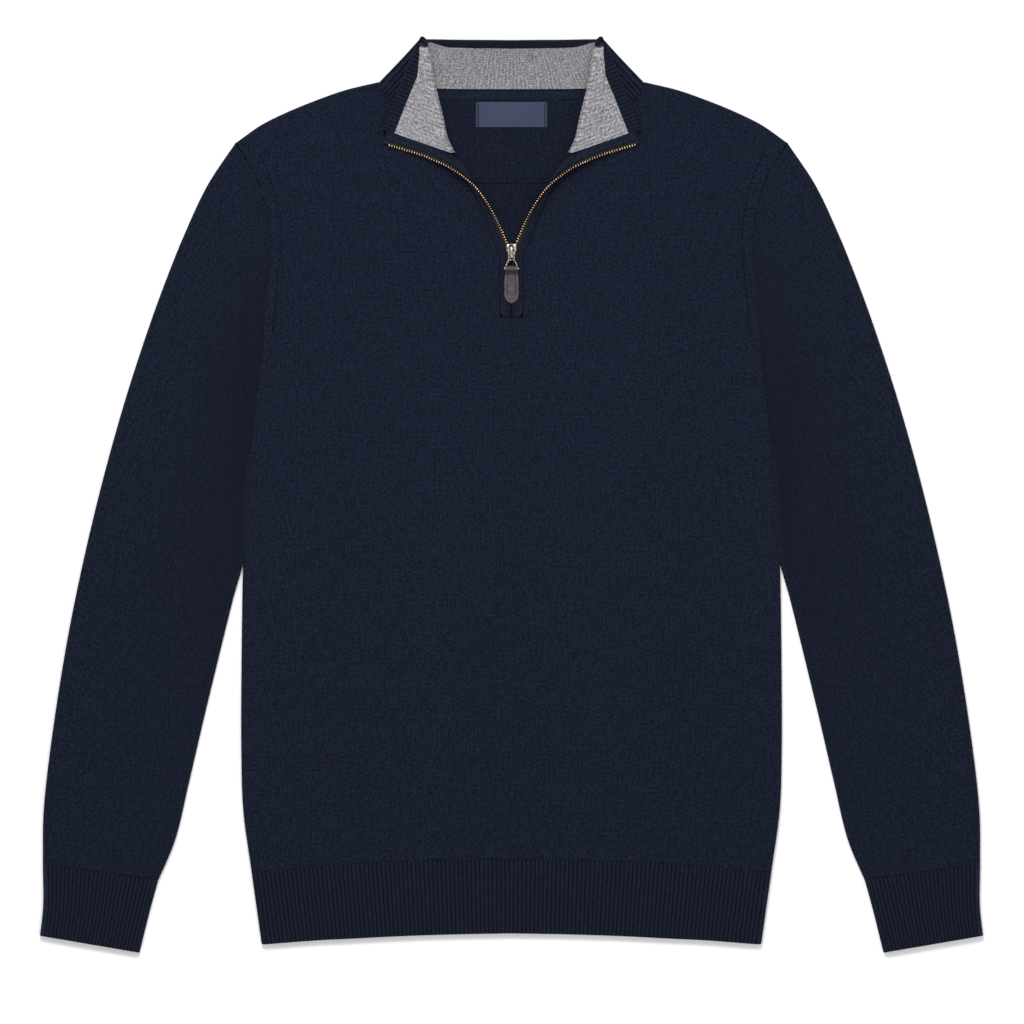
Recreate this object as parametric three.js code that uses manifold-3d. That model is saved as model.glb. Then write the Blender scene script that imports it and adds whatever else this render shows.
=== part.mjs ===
// A quarter zip sweater laid flat and face up, with its ribbed collar turned down in front
// and its zip half open. Millimetres. +X is the right of someone looking down on it, +Y runs
// toward the collar and +Z is up. The origin is the middle of its outline on the surface.
// Tables give the right half; the left half is its mirror image.
import * as THREE from "three";
import Module from "manifold-3d";

const wasm = await Module();
wasm.setup();

// Knit
const WALL = 2.4;
const FOLD_RADIUS = 3;
const SEAM_GAP = 0.3;
const ARMHOLE_GAP = 0.6;
const CHEST_LOFT = 1.3;
const SLEEVE_LOFT = 1.1;

// Ribs of the hem, cuffs and collar, about 3.5 mm apart
const RIB_HEIGHT = 0.7;
const HEM_RIBS = 120;
const CUFF_RIBS = 26;
const COLLAR_FRONT_RIBS = 24;
const COLLAR_FOLD_RIBS = 2;
const COLLAR_BACK_RIBS = 60;

// Collar
const COLLAR_WALL = 2.2;
const LINING_WALL = 1;
const ROLL_RADIUS = 2.7;
const TOP_BAND = 10;
const BACK_COLLAR_RISE = 23;
const COLLAR_SEAM_HEIGHT = 5.8;
const BACK_SEAM_HEIGHT = 1.6;
const COLLAR_SEAM_GAP = 1.3;
const COLLAR_STEP = 4;
const LINING_SIDE_COLUMNS = 8;

// Zip and placket
const PLACKET_BOTTOM = 145.6;
const PLACKET_EDGE = 9.7;
const TAPE = { from: 0.9, to: 9.2, low: -0.3, high: 0.3 };
const BAND = { to: 9.4, low: 0.7, high: 2.8 };
const FACING = { from: 1.5, to: 9.4, low: -1.9, high: -0.75 };
const TAPE_START = 0.02;
const ZIP_STEPS = 30;

// Where rows of the front panel pass the underarm, the foot of the placket and the collar's front
const UNDERARM_SHARE = 0.5;
const PLACKET_SHARE = 0.62;
const COLLAR_SHARE = 0.8;
const ROWS_BELOW_PLACKET = 9;
const ROWS_BESIDE_COLLAR = 4;

// Over which share of a panel's width or height its loft rises from each edge, as 1 divided by it
const CHEST_RISE = { side: 3, bottom: 8, top: 10, zip: 5, zipFrom: 0.55 };
const SLEEVE_RISE = { side: 4, cuff: 6, head: 0.15 };

// Where the body's folded edge turns into the flat armhole seam, and where its top corner begins
const FLAT_EDGE = { from: 0.6, to: 0.72, corner: 0.93 };

// How sharply a side of a panel is drawn onto its corner
const CORNER_POWER = 8;
const NECK_POWER = 6;
const SHOULDER_POWER = 4;

// Side seam from the hem rib up to the underarm
const SIDE_SEAM = [
  { x: 213.3, y: -309.6 },
  { x: 220.2, y: -258.7 },
  { x: 221.8, y: -209.5 },
  { x: 221.6, y: -135 },
  { x: 220.2, y: -52 },
  { x: 218.1, y: -4.5 },
  { x: 213.6, y: 50.4 },
];

// Armhole seam from the underarm up to the shoulder corner
const ARMHOLE = [
  { x: 213.6, y: 50.4 },
  { x: 208.3, y: 96.4 },
  { x: 204.2, y: 132.4 },
  { x: 201.5, y: 165 },
  { x: 197.8, y: 205 },
  { x: 200.9, y: 229.6 },
  { x: 210.2, y: 261 },
  { x: 227, y: 288.2 },
];

// Shoulder line from its corner in to the neck
const SHOULDER = [
  { x: 227, y: 288.2 },
  { x: 207, y: 302.2 },
  { x: 187.8, y: 312 },
  { x: 164.4, y: 321.9 },
  { x: 136.9, y: 331.7 },
  { x: 109.5, y: 338.3 },
];

// Neck edge of the front panel, hidden under the turned-down collar, from the zip out
const FRONT_NECK = [
  { x: 50, y: 277 },
  { x: 70, y: 295 },
  { x: 92, y: 315 },
  { x: 108.3, y: 335.5 },
];

// Neck edge of the back panel from its middle out
const BACK_NECK = [
  { x: 0, y: 331.3 },
  { x: 50, y: 331.4 },
  { x: 85, y: 331.9 },
  { x: 99, y: 332.5 },
  { x: 108.3, y: 335.5 },
];

// Top line of the hem rib and its bottom edge, from the middle out
const HEM_TOP = [
  { x: 0, y: -298.9 },
  { x: 80, y: -300.3 },
  { x: 150, y: -303.8 },
  { x: 213.3, y: -309.6 },
];
const HEM_BOTTOM = [
  { x: 0, y: -359.6 },
  { x: 46, y: -360.4 },
  { x: 95, y: -362 },
  { x: 128, y: -363.7 },
  { x: 161, y: -365.3 },
  { x: 205, y: -368.6 },
];

// Sleeve edges from the armhole down to the cuff
const SLEEVE_INNER = [
  { x: 218.6, y: -6 },
  { x: 220.7, y: -50 },
  { x: 229.2, y: -86.5 },
  { x: 240.7, y: -135.7 },
  { x: 252.6, y: -184.9 },
  { x: 264, y: -234.1 },
  { x: 275.9, y: -283.3 },
  { x: 289.7, y: -316.4 },
];
const SLEEVE_OUTER = [
  { x: 249.3, y: 253.8 },
  { x: 268.6, y: 212.8 },
  { x: 285, y: 171.8 },
  { x: 299.7, y: 130.8 },
  { x: 319.4, y: 69.3 },
  { x: 341.5, y: -12.7 },
  { x: 362.9, y: -111.1 },
  { x: 378.4, y: -209.5 },
  { x: 383.9, y: -262 },
  { x: 384.4, y: -302.7 },
];

// Cuff edges from its top line down to its opening
const CUFF_INNER = [
  { x: 289.9, y: -316.8 },
  { x: 296.5, y: -341 },
  { x: 305.1, y: -375.7 },
];
const CUFF_OUTER = [
  { x: 384.4, y: -303.1 },
  { x: 384.2, y: -338 },
  { x: 386.8, y: -361.7 },
];

// Line of the zip's teeth from the foot of the placket to the tip of the collar. base is the
// height of the seam beside it, tilt how far the strip is turned over from lying face up, and
// band how far from the teeth the outer band begins.
const ZIP_LINE = [
  { x: 0, y: 145.8, base: 4.6, tilt: 0, band: 0.4 },
  { x: 0, y: 168, base: 4.6, tilt: 0, band: 0.4 },
  { x: 0, y: 184, base: 4.6, tilt: 0, band: 0.5 },
  { x: 0, y: 191, base: 4.6, tilt: 0, band: 4.6 },
  { x: 1, y: 199, base: 4.6, tilt: 0, band: 4 },
  { x: 3.8, y: 206.5, base: 4.6, tilt: 0, band: 3.6 },
  { x: 10, y: 221, base: 5, tilt: 30, band: 3.4 },
  { x: 14.6, y: 230, base: 5.6, tilt: 46, band: 3.4 },
  { x: 21.7, y: 241.5, base: 6.3, tilt: 66, band: 3.4 },
  { x: 30.6, y: 252.8, base: 7.1, tilt: 88, band: 3.4 },
  { x: 40.5, y: 261, base: 8.1, tilt: 112, band: 3.4 },
  { x: 51.8, y: 268.3, base: 9.5, tilt: 138, band: 3.4 },
  { x: 64.4, y: 274, base: 10.7, tilt: 158, band: 3.4 },
  { x: 75, y: 278.3, base: 11.2, tilt: 170, band: 3.4 },
  { x: 88, y: 282.3, base: 11.3, tilt: 178, band: 3.4 },
  { x: 103.2, y: 287, base: 11.3, tilt: 180, band: 3.4 },
];
const SEAM_REACH = 9.7;
const PANEL_CLEARANCE = 1.3;
const COLLAR_FRONT_ROW = 10.8;

// Roll line of the turned-down collar and the collar's top edge, both from the zip up
const ROLL_LINE = [
  { x: 45.5, y: 279.5 },
  { x: 52.9, y: 291 },
  { x: 58.5, y: 311 },
  { x: 64.4, y: 335 },
  { x: 69, y: 359 },
  { x: 73.9, y: 371.4 },
];
const FLAP_EDGE = [
  { x: 102.6, y: 298.5 },
  { x: 93, y: 323 },
  { x: 84, y: 347 },
  { x: 76, y: 372.3 },
];

// Top edge of the back of the collar from its middle out
const BACK_TOP_EDGE = [
  { x: 0, y: 371.2 },
  { x: 45, y: 371.8 },
  { x: 72.3, y: 373 },
];

// Soft troughs pressed into the front of the body
const TROUGHS = [
  { fromX: -130, fromY: -64, toX: -163, toY: -178, depth: 0.9, width: 14 },
  { fromX: -163, fromY: -178, toX: -190, toY: -277, depth: 0.9, width: 12 },
  { fromX: -200, fromY: -110, toX: -206, toY: -189, depth: 0.6, width: 9 },
  { fromX: -81, fromY: -219, toX: -91, toY: -287, depth: 0.6, width: 10 },
  { fromX: -26, fromY: -137, toX: -23, toY: -260, depth: 0.7, width: 14 },
  { fromX: 142, fromY: -132, toX: 165, toY: -211, depth: 0.9, width: 13 },
  { fromX: 165, fromY: -211, toX: 187, toY: -282, depth: 0.9, width: 12 },
  { fromX: 64, fromY: -240, toX: 80, toY: -291, depth: 0.6, width: 10 },
  { fromX: 189, fromY: -41, toX: 200, toY: -192, depth: 0.6, width: 10 },
];

// Inside the neck
const PATCH = { halfWidth: 95, top: 324, bottom: 255.4, low: 2.7, high: 3.5, squareness: 3 };
const NECK_TAPE = { halfWidth: 96, width: 6.9, low: 2.7, high: 3.5 };
const LABEL = { width: 58, height: 20.3, middle: 311.6, low: 3.8, high: 4.3 };
const PATCH_STEPS = 24;
const TAPE_STEPS = 16;

// Slider and pull
const SLIDER = { top: 205.8, bottom: 193.1, halfWidth: 4.1, plate: 0.9 };
const SLIDER_LOW = 2.9;
const SLIDER_DECK = 5.3;
const WEDGE = { halfWidth: 1, from: 200, to: 205.4 };
const BRIDGE = { halfWidth: 1.25, from: 194, to: 204.6, high: 10.6, bar: 1.2 };
const WIRE = 0.65;
const BALL = 1.1;
const BAIL_TOP = { y: 198, z: 8.7, halfWidth: 2.6 };
const BAIL_FOOT = { y: 185.2, z: 9.7, halfWidth: 6.45 };
const TAB = { halfWidth: 5.5, bottom: 156.9, thickness: 2.2, low: 7.7, loop: 2, bore: 1 };
const TAB_TAPER = 0.4;
const TAB_SHOULDER = 2;
const SUNK = 0.2;

// Colours
const NAVY = 0x1c2130;
const NAVY_RIB = 0x191e2a;
const GREY = 0x89888d;
const NAVY_TAPE = 0x1f2535;
const BLACK_TAPE = 0x121214;
const LABEL_BLUE = 0x3d4566;
const BRASS = 0xb8a58c;
const LEATHER = 0x594e52;

const radians = THREE.MathUtils.degToRad;
const lerp = THREE.MathUtils.lerp;
const smooth = THREE.MathUtils.smoothstep;
const UP = new THREE.Vector3(0, 0, 1);

// Points round a folded edge, from the flat of the wall out to the fold
const FOLD_STEPS = [62, 32, 0].map(radians);

const sweater = new THREE.Group();

// A smooth curve through the rows of a table
function through(rows) {
  const points = rows.map((row) => new THREE.Vector3(row.x, row.y, 0));
  return new THREE.CatmullRomCurve3(points, false, "centripetal");
}

const sideSeam = through(SIDE_SEAM);
const armhole = through(ARMHOLE);
const shoulder = through(SHOULDER);
const frontNeck = through(FRONT_NECK);
const backNeck = through(BACK_NECK);
const hemTop = through(HEM_TOP);
const hemBottom = through(HEM_BOTTOM);
const rollLine = through(ROLL_LINE);
const flapEdge = through(FLAP_EDGE);
const backTopEdge = through(BACK_TOP_EDGE);
const zipLine = through(ZIP_LINE);

// The normal of a plan curve, to the right of its direction
function rightOf(curve, share) {
  const along = curve.getTangentAt(share);
  return new THREE.Vector3(along.y, -along.x, 0).normalize();
}

function mirrored(point) {
  return new THREE.Vector3(-point.x, point.y, point.z);
}

function moved(point, direction, distance) {
  return point.clone().addScaledVector(direction, distance);
}

// A patch between four sides, each a function of a share from 0 to 1
function patch(sides, across, along) {
  const corner = (u, v) => (u === 0 ? sides.inner(v) : sides.outer(v));
  const between = sides.inner(along).lerp(sides.outer(along), across);
  const ends = sides.start(across).lerp(sides.end(across), along);
  const first = corner(0, 0).lerp(corner(1, 0), across);
  const last = corner(0, 1).lerp(corner(1, 1), across);
  return between.add(ends).sub(first.lerp(last, along));
}

// A closed body from its triangles, turned so that its faces point out
function closedBody(triangles) {
  let volume = 0;
  for (const [a, b, c] of triangles) volume += a.dot(b.clone().cross(c));
  const positions = [];
  for (const [a, b, c] of triangles) {
    const turned = volume > 0 ? [a, b, c] : [a, c, b];
    for (const point of turned) positions.push(point.x, point.y, point.z);
  }
  const geometry = new THREE.BufferGeometry();
  geometry.setAttribute("position", new THREE.Float32BufferAttribute(positions, 3));
  geometry.computeVertexNormals();
  return geometry;
}

// A wall over four-sided cells whose corners each have an outer and an inner point. Edges that
// only one cell has are closed with a strip from the outer face to the inner face.
function wallOver(cells) {
  const triangles = [];
  const edges = new Map();
  const name = (corner) => corner.outer.toArray().map((value) => Math.round(value * 500)).join(" ");
  for (const cell of cells) {
    const [a, b, c, d] = cell;
    triangles.push([a.outer, b.outer, c.outer], [a.outer, c.outer, d.outer]);
    triangles.push([a.inner, c.inner, b.inner], [a.inner, d.inner, c.inner]);
    cell.forEach((corner, index) => {
      const next = cell[(index + 1) % cell.length];
      const reverse = name(next) + "|" + name(corner);
      if (edges.has(reverse)) edges.delete(reverse);
      else edges.set(name(corner) + "|" + name(next), [corner, next]);
    });
  }
  for (const [from, to] of edges.values()) {
    triangles.push([from.outer, from.inner, to.inner], [from.outer, to.inner, to.outer]);
  }
  return closedBody(triangles);
}

// The cells of a grid of corners, closed round if it is a tube
function cellsOf(grid, tube = false) {
  const cells = [];
  const columns = tube ? grid.length : grid.length - 1;
  for (let i = 0; i < columns; i += 1) {
    const here = grid[i];
    const next = grid[(i + 1) % grid.length];
    for (let j = 0; j < here.length - 1; j += 1) {
      cells.push([here[j], next[j], next[j + 1], here[j + 1]]);
    }
  }
  return cells;
}

// Cells of a mirrored grid, turned so that they face the same way as those of the right half
function turnedOver(cells) {
  return cells.map((cell) => [...cell].reverse());
}

// An open strip of ribs: every column has its outer points, and one column in each step has
// the inner points of the plain inside
function ribbedWall(grid, step) {
  const triangles = [];
  const last = grid.length - 1;
  const rows = grid[0].length;
  for (let i = 0; i < last; i += 1) {
    for (let j = 0; j < rows - 1; j += 1) {
      const [a, b, c, d] = [grid[i][j], grid[i + 1][j], grid[i + 1][j + 1], grid[i][j + 1]];
      triangles.push([a.outer, b.outer, c.outer], [a.outer, c.outer, d.outer]);
    }
  }
  for (let i = 0; i < last; i += step) {
    for (let j = 0; j < rows - 1; j += 1) {
      const [a, b, c, d] = [grid[i][j], grid[i + step][j], grid[i + step][j + 1], grid[i][j + 1]];
      triangles.push([a.inner, c.inner, b.inner], [a.inner, d.inner, c.inner]);
    }
    for (const j of [0, rows - 1]) {
      const flip = j !== 0;
      const add = (a, b, c) => triangles.push(flip ? [a, c, b] : [a, b, c]);
      for (let k = i; k < i + step; k += 1) add(grid[k][j].outer, grid[i][j].inner, grid[k + 1][j].outer);
      add(grid[i + step][j].outer, grid[i][j].inner, grid[i + step][j].inner);
    }
  }
  for (const i of [0, last]) {
    for (let j = 0; j < rows - 1; j += 1) {
      const [a, b] = i === 0 ? [grid[i][j], grid[i][j + 1]] : [grid[i][j + 1], grid[i][j]];
      triangles.push([a.outer, b.outer, b.inner], [a.outer, b.inner, a.inner]);
    }
  }
  return closedBody(triangles);
}

function addPiece(name, geometry, color, roughness = 0.95, metalness = 0) {
  const material = new THREE.MeshStandardMaterial({ color, roughness, metalness });
  const mesh = new THREE.Mesh(geometry, material);
  mesh.name = name;
  sweater.add(mesh);
}

// How far a point lies inside the soft troughs, as a depth
function troughDepth(x, y) {
  let depth = 0;
  for (const trough of TROUGHS) {
    const line = new THREE.Line3(
      new THREE.Vector3(trough.fromX, trough.fromY, 0),
      new THREE.Vector3(trough.toX, trough.toY, 0),
    );
    const point = new THREE.Vector3(x, y, 0);
    const nearest = line.closestPointToPoint(point, true, new THREE.Vector3());
    depth += trough.depth * Math.exp(-((nearest.distanceTo(point) / trough.width) ** 2));
  }
  return depth;
}

// Body

// The outer edge of the body: side seam, then armhole
function bodyEdge(along) {
  if (along <= UNDERARM_SHARE) return { curve: sideSeam, share: along / UNDERARM_SHARE };
  return { curve: armhole, share: (along - UNDERARM_SHARE) / (1 - UNDERARM_SHARE) };
}

// 0 where the body's edge is folded over, 1 where it is sewn flat to the sleeve
function edgeFlatness(along) {
  return smooth(along, FLAT_EDGE.from, FLAT_EDGE.to);
}

function shoulderCorner(along) {
  return smooth(along, FLAT_EDGE.corner, 1);
}

const shoulderNormal = (share) => rightOf(shoulder, 1 - share);

const bodyOuterSide = (along) => {
  const { curve, share } = bodyEdge(along);
  const inset = moved(curve.getPointAt(share), rightOf(curve, share), -FOLD_RADIUS);
  return moved(inset, shoulderNormal(1), -FOLD_RADIUS * shoulderCorner(along));
};

// The seam edge of the front panel beside the zip, and the strip's own directions there
function zipFrame(share) {
  const at = share * (ZIP_LINE.length - 1);
  const row = Math.min(Math.floor(at), ZIP_LINE.length - 2);
  const mix = at - row;
  const value = (key) => lerp(ZIP_LINE[row][key], ZIP_LINE[row + 1][key], mix);
  const plan = zipLine.getPoint(share);
  const along = zipLine.getTangent(share);
  const inward = new THREE.Vector3(-along.y, along.x, 0).normalize();
  const tilt = radians(value("tilt"));
  const across = inward.clone().multiplyScalar(Math.cos(tilt)).addScaledVector(UP, Math.sin(tilt));
  const outer = inward.clone().multiplyScalar(-Math.sin(tilt)).addScaledVector(UP, Math.cos(tilt));
  plan.z = value("base") + SEAM_REACH * Math.sin(tilt);
  return { teeth: plan, across, outer, band: value("band") };
}

function zipSeamEdge(share) {
  const { teeth, across, outer } = zipFrame(share);
  const edge = moved(moved(teeth, across, -SEAM_REACH), outer, PANEL_CLEARANCE);
  edge.z = 0;
  return edge;
}

const COLLAR_ZIP_SHARE = COLLAR_FRONT_ROW / (ZIP_LINE.length - 1);

// Inner side of the front panel's right half: up the middle, along the zip, round the neck
const frontInnerSide = (along) => {
  if (along <= PLACKET_SHARE) {
    const y = lerp(hemTop.getPointAt(0).y, PLACKET_BOTTOM - SEAM_GAP, along / PLACKET_SHARE);
    return new THREE.Vector3(PLACKET_EDGE, y, 0);
  }
  if (along <= COLLAR_SHARE) {
    const share = (along - PLACKET_SHARE) / (COLLAR_SHARE - PLACKET_SHARE);
    const edge = zipSeamEdge(share * COLLAR_ZIP_SHARE);
    edge.y = Math.max(edge.y, PLACKET_BOTTOM - SEAM_GAP);
    edge.x = Math.max(edge.x, PLACKET_EDGE);
    return edge;
  }
  const share = (along - COLLAR_SHARE) / (1 - COLLAR_SHARE);
  const start = zipSeamEdge(COLLAR_ZIP_SHARE);
  const neck = frontNeck.getPointAt(share);
  return neck.lerp(start, (1 - share) ** NECK_POWER);
};

const hemPoint = (share, inner) => {
  const point = hemTop.getPointAt(share);
  point.x = lerp(inner, hemTop.getPointAt(1).x - FOLD_RADIUS, share);
  return point;
};

const frontSides = {
  inner: frontInnerSide,
  outer: bodyOuterSide,
  start: (across) => hemPoint(across, PLACKET_EDGE).lerp(bodyOuterSide(0), across ** CORNER_POWER),
  end: (across) => {
    const point = moved(shoulder.getPointAt(1 - across), shoulderNormal(across), -FOLD_RADIUS);
    const shift = bodyOuterSide(1).sub(moved(shoulder.getPointAt(0), shoulderNormal(1), -FOLD_RADIUS));
    const nudge = frontInnerSide(1).sub(moved(shoulder.getPointAt(1), shoulderNormal(0), -FOLD_RADIUS));
    point.addScaledVector(shift, across ** SHOULDER_POWER);
    return point.addScaledVector(nudge, (1 - across) ** SHOULDER_POWER);
  },
};

// Share of the back's top side where its neck edge meets the shoulder
const BACK_NECK_SHARE = 0.48;

const backSides = {
  inner: (along) => new THREE.Vector3(0, lerp(HEM_TOP[0].y, BACK_NECK[0].y - SEAM_GAP, along), 0),
  outer: bodyOuterSide,
  start: (across) => hemPoint(across, 0).lerp(bodyOuterSide(0), across ** CORNER_POWER),
  end: (across) => {
    if (across <= BACK_NECK_SHARE) {
      const point = backNeck.getPointAt(across / BACK_NECK_SHARE);
      return point.setY(point.y - SEAM_GAP);
    }
    const share = (across - BACK_NECK_SHARE) / (1 - BACK_NECK_SHARE);
    return frontSides.end(share).lerp(backNeck.getPointAt(1), (1 - share) ** CORNER_POWER);
  },
};

const FRONT_COLUMNS = [0, 0.13, 0.27, 0.42, 0.58, 0.74, 0.89, 1];
const BACK_COLUMNS = [0, 0.16, 0.32, BACK_NECK_SHARE, 0.65, 0.83, 1];
const BACK_ROW_SHARES = [0, 0.1, 0.24, 0.38, 0.5, 0.6, 0.66, 0.72, 0.78, 0.82, 0.86, 0.9, 0.94, 0.97, 1];

function bodyRows() {
  const rows = [];
  for (let i = 0; i < ROWS_BELOW_PLACKET; i += 1) rows.push((PLACKET_SHARE * i) / ROWS_BELOW_PLACKET);
  for (let i = 0; i < COLLAR_FRONT_ROW; i += 1) {
    const share = i / Math.ceil(COLLAR_FRONT_ROW);
    rows.push(lerp(PLACKET_SHARE, COLLAR_SHARE, share));
  }
  for (let i = 0; i <= ROWS_BESIDE_COLLAR; i += 1) rows.push(lerp(COLLAR_SHARE, 1, i / ROWS_BESIDE_COLLAR));
  return rows.map((share) => ({ share, lean: 0, lift: 1 }));
}

// One corner of a body panel's grid. face is 1 for the front and -1 for the back.
function bodyCorner(sides, face, column, row) {
  const along = row.share;
  const plan = patch(sides, column.share, along);
  const { curve, share } = bodyEdge(along);
  const flat = edgeFlatness(along);
  const edgeNormal = rightOf(curve, share);
  const endNormal = shoulderNormal(column.endShare ?? column.share);
  const middle = FOLD_RADIUS + (face * SEAM_GAP) / 2;
  const radius = FOLD_RADIUS - SEAM_GAP / 2;
  const lift = lerp(column.lift, 1, flat) * row.lift;
  const raised = face > 0 && column.lift === 1 && row.lift === 1;
  const besideZip = smooth(along, CHEST_RISE.zipFrom, PLACKET_SHARE);
  const zipSide = lerp(1, Math.min(1, CHEST_RISE.zip * column.share), besideZip);
  const inSide = Math.min(1, CHEST_RISE.side * (1 - column.share));
  const inEdges = inSide * Math.min(1, CHEST_RISE.bottom * along, CHEST_RISE.top * (1 - along));
  const edgeShare = inEdges * zipSide;
  const crown = raised ? CHEST_LOFT * edgeShare : 0;
  const loft = raised ? Math.max(0, crown - edgeShare * troughDepth(column.side * plan.x, plan.y)) : 0;
  const place = (reach) => {
    const point = moved(plan, edgeNormal, lerp(reach, radius, flat) * column.lean);
    point.addScaledVector(endNormal, reach * row.lean);
    point.z = middle + face * reach * lift + loft;
    return point;
  };
  const corner = { outer: place(radius), inner: place(radius - WALL) };
  if (column.side > 0) return corner;
  return { outer: mirrored(corner.outer), inner: mirrored(corner.inner) };
}

function bodyColumns(shares, side) {
  const inside = shares.map((share) => ({ share, lean: 0, lift: 1, side }));
  const fold = FOLD_STEPS.map((angle) => {
    return { share: 1, lean: Math.cos(angle), lift: Math.sin(angle), side };
  });
  return [...inside, ...fold];
}

const SHOULDER_FOLD = FOLD_STEPS.map((angle) => {
  return { share: 1, lean: Math.cos(angle), lift: Math.sin(angle) };
});

function frontPanel() {
  const rows = bodyRows();
  const grids = [1, -1].map((side) => bodyColumns(FRONT_COLUMNS, side).map((column) => {
    return [...rows, ...SHOULDER_FOLD].map((row) => bodyCorner(frontSides, 1, column, row));
  }));
  const middleRows = rows.filter((row) => row.share <= PLACKET_SHARE);
  const middle = middleRows.map((row, j) => {
    const [right, left] = grids.map((grid) => grid[0][j]);
    const between = (key) => right[key].clone().lerp(left[key], 0.5).setX(0);
    return { outer: between("outer"), inner: between("inner") };
  });
  const cells = grids.map((grid) => {
    const strip = [middle, grid[0].slice(0, middle.length)];
    return [...cellsOf(strip), ...cellsOf(grid)];
  });
  return wallOver([...cells[0], ...turnedOver(cells[1])]);
}

function backPanel() {
  const rows = BACK_ROW_SHARES.map((share) => ({ share, lean: 0, lift: 1 }));
  const cells = [1, -1].map((side) => {
    const grid = bodyColumns(BACK_COLUMNS, side).map((column) => {
      const endShare = Math.max(0, (column.share - BACK_NECK_SHARE) / (1 - BACK_NECK_SHARE));
      const fold = column.share < BACK_NECK_SHARE ? [] : SHOULDER_FOLD;
      return [...rows, ...fold].map((row) => bodyCorner(backSides, -1, { ...column, endShare }, row));
    });
    const found = [];
    for (let i = 0; i < grid.length - 1; i += 1) {
      const length = Math.min(grid[i].length, grid[i + 1].length);
      found.push(...cellsOf([grid[i].slice(0, length), grid[i + 1].slice(0, length)]));
    }
    return found;
  });
  return wallOver([...cells[0], ...turnedOver(cells[1])]);
}

// Sleeves and cuffs

// Columns round a flattened tube, from the fold of its outer edge over the top and back below
function tubeColumns(topShares, bottomShares) {
  const fold = (share, out, angle) => {
    return { share, lean: out * Math.cos(angle), lift: Math.sin(angle) };
  };
  const flat = (share, lift) => ({ share, lean: 0, lift });
  return [
    ...[0, 32, 62].map((angle) => fold(1, 1, radians(angle))),
    ...topShares.map((share) => flat(share, 1)),
    ...[62, 32, 0, -45].map((angle) => fold(0, -1, radians(angle))),
    ...bottomShares.map((share) => flat(share, -1)),
    fold(1, 1, radians(-45)),
  ];
}

const armholeLength = armhole.getLength();
const FOLD_SHARE = FOLD_RADIUS / armholeLength;
const armholeOffset = (share) => moved(armhole.getPointAt(share), rightOf(armhole, share), ARMHOLE_GAP);
const sleeveInner = through([armholeOffset(0), ...SLEEVE_INNER]);
const sleeveOuter = through([armholeOffset(1), ...SLEEVE_OUTER]);

// Outward directions of the sleeve's folded edges; at the armhole they follow the seam
function sleeveInnerNormal(along) {
  const seam = armhole.getTangentAt(0).negate();
  return seam.lerp(rightOf(sleeveInner, along), smooth(along, 0, 0.12)).normalize();
}
function sleeveOuterNormal(along) {
  const seam = armhole.getTangentAt(1);
  return seam.lerp(rightOf(sleeveOuter, along).negate(), smooth(along, 0, 0.06)).normalize();
}

const sleeveSides = {
  inner: (along) => moved(sleeveInner.getPointAt(along), sleeveInnerNormal(along), -FOLD_RADIUS),
  outer: (along) => moved(sleeveOuter.getPointAt(along), sleeveOuterNormal(along), -FOLD_RADIUS),
  start: (across) => armholeOffset(lerp(FOLD_SHARE, 1 - FOLD_SHARE, across)),
  end: (across) => sleeveSides.inner(1).lerp(sleeveSides.outer(1), across),
};

function tubeCorner(sides, normals, column, along, loft, relief, side) {
  const plan = patch(sides, column.share, along);
  const outward = column.lean > 0 ? normals.outer(along) : normals.inner(along);
  const place = (reach, extra) => {
    const point = moved(plan, outward, Math.abs(column.lean) * reach);
    point.z = FOLD_RADIUS + reach * column.lift + extra;
    return side > 0 ? point : mirrored(point);
  };
  const raise = column.lift === 1 ? loft : 0;
  return {
    outer: place(FOLD_RADIUS, raise + relief),
    inner: place(FOLD_RADIUS - WALL, raise),
  };
}

const SLEEVE_TOP_COLUMNS = [1, 0.91, 0.82, 0.73, 0.64, 0.55, 0.46, 0.37, 0.28, 0.18, 0.08, 0];
const SLEEVE_BOTTOM_COLUMNS = [0, 0.18, 0.36, 0.54, 0.7, 0.84, 1];
const SLEEVE_ROWS = [0, 0.04, 0.1, 0.17, 0.25, 0.34, 0.45, 0.57, 0.7, 0.83, 0.93, 1];

function sleeve(side) {
  const columns = tubeColumns(SLEEVE_TOP_COLUMNS, SLEEVE_BOTTOM_COLUMNS);
  const normals = { inner: sleeveInnerNormal, outer: sleeveOuterNormal };
  const grid = columns.map((column) => SLEEVE_ROWS.map((along) => {
    const { side: rise, cuff: fall, head } = SLEEVE_RISE;
    const crown = Math.min(1, rise * column.share, rise * (1 - column.share), fall * (1 - along));
    const loft = SLEEVE_LOFT * Math.max(0, crown) * smooth(along, 0, head);
    return tubeCorner(sleeveSides, normals, column, along, loft, 0, side);
  }));
  return wallOver(cellsOf(grid, true));
}

const cuffInner = through(CUFF_INNER);
const cuffOuter = through(CUFF_OUTER);
const cuffNormals = {
  inner: (along) => rightOf(cuffInner, along),
  outer: (along) => rightOf(cuffOuter, along).negate(),
};
const cuffSides = {
  inner: (along) => moved(cuffInner.getPointAt(along), cuffNormals.inner(along), -FOLD_RADIUS),
  outer: (along) => moved(cuffOuter.getPointAt(along), cuffNormals.outer(along), -FOLD_RADIUS),
  start: (across) => cuffSides.inner(0).lerp(cuffSides.outer(0), across),
  end: (across) => cuffSides.inner(1).lerp(cuffSides.outer(1), across),
};

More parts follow.
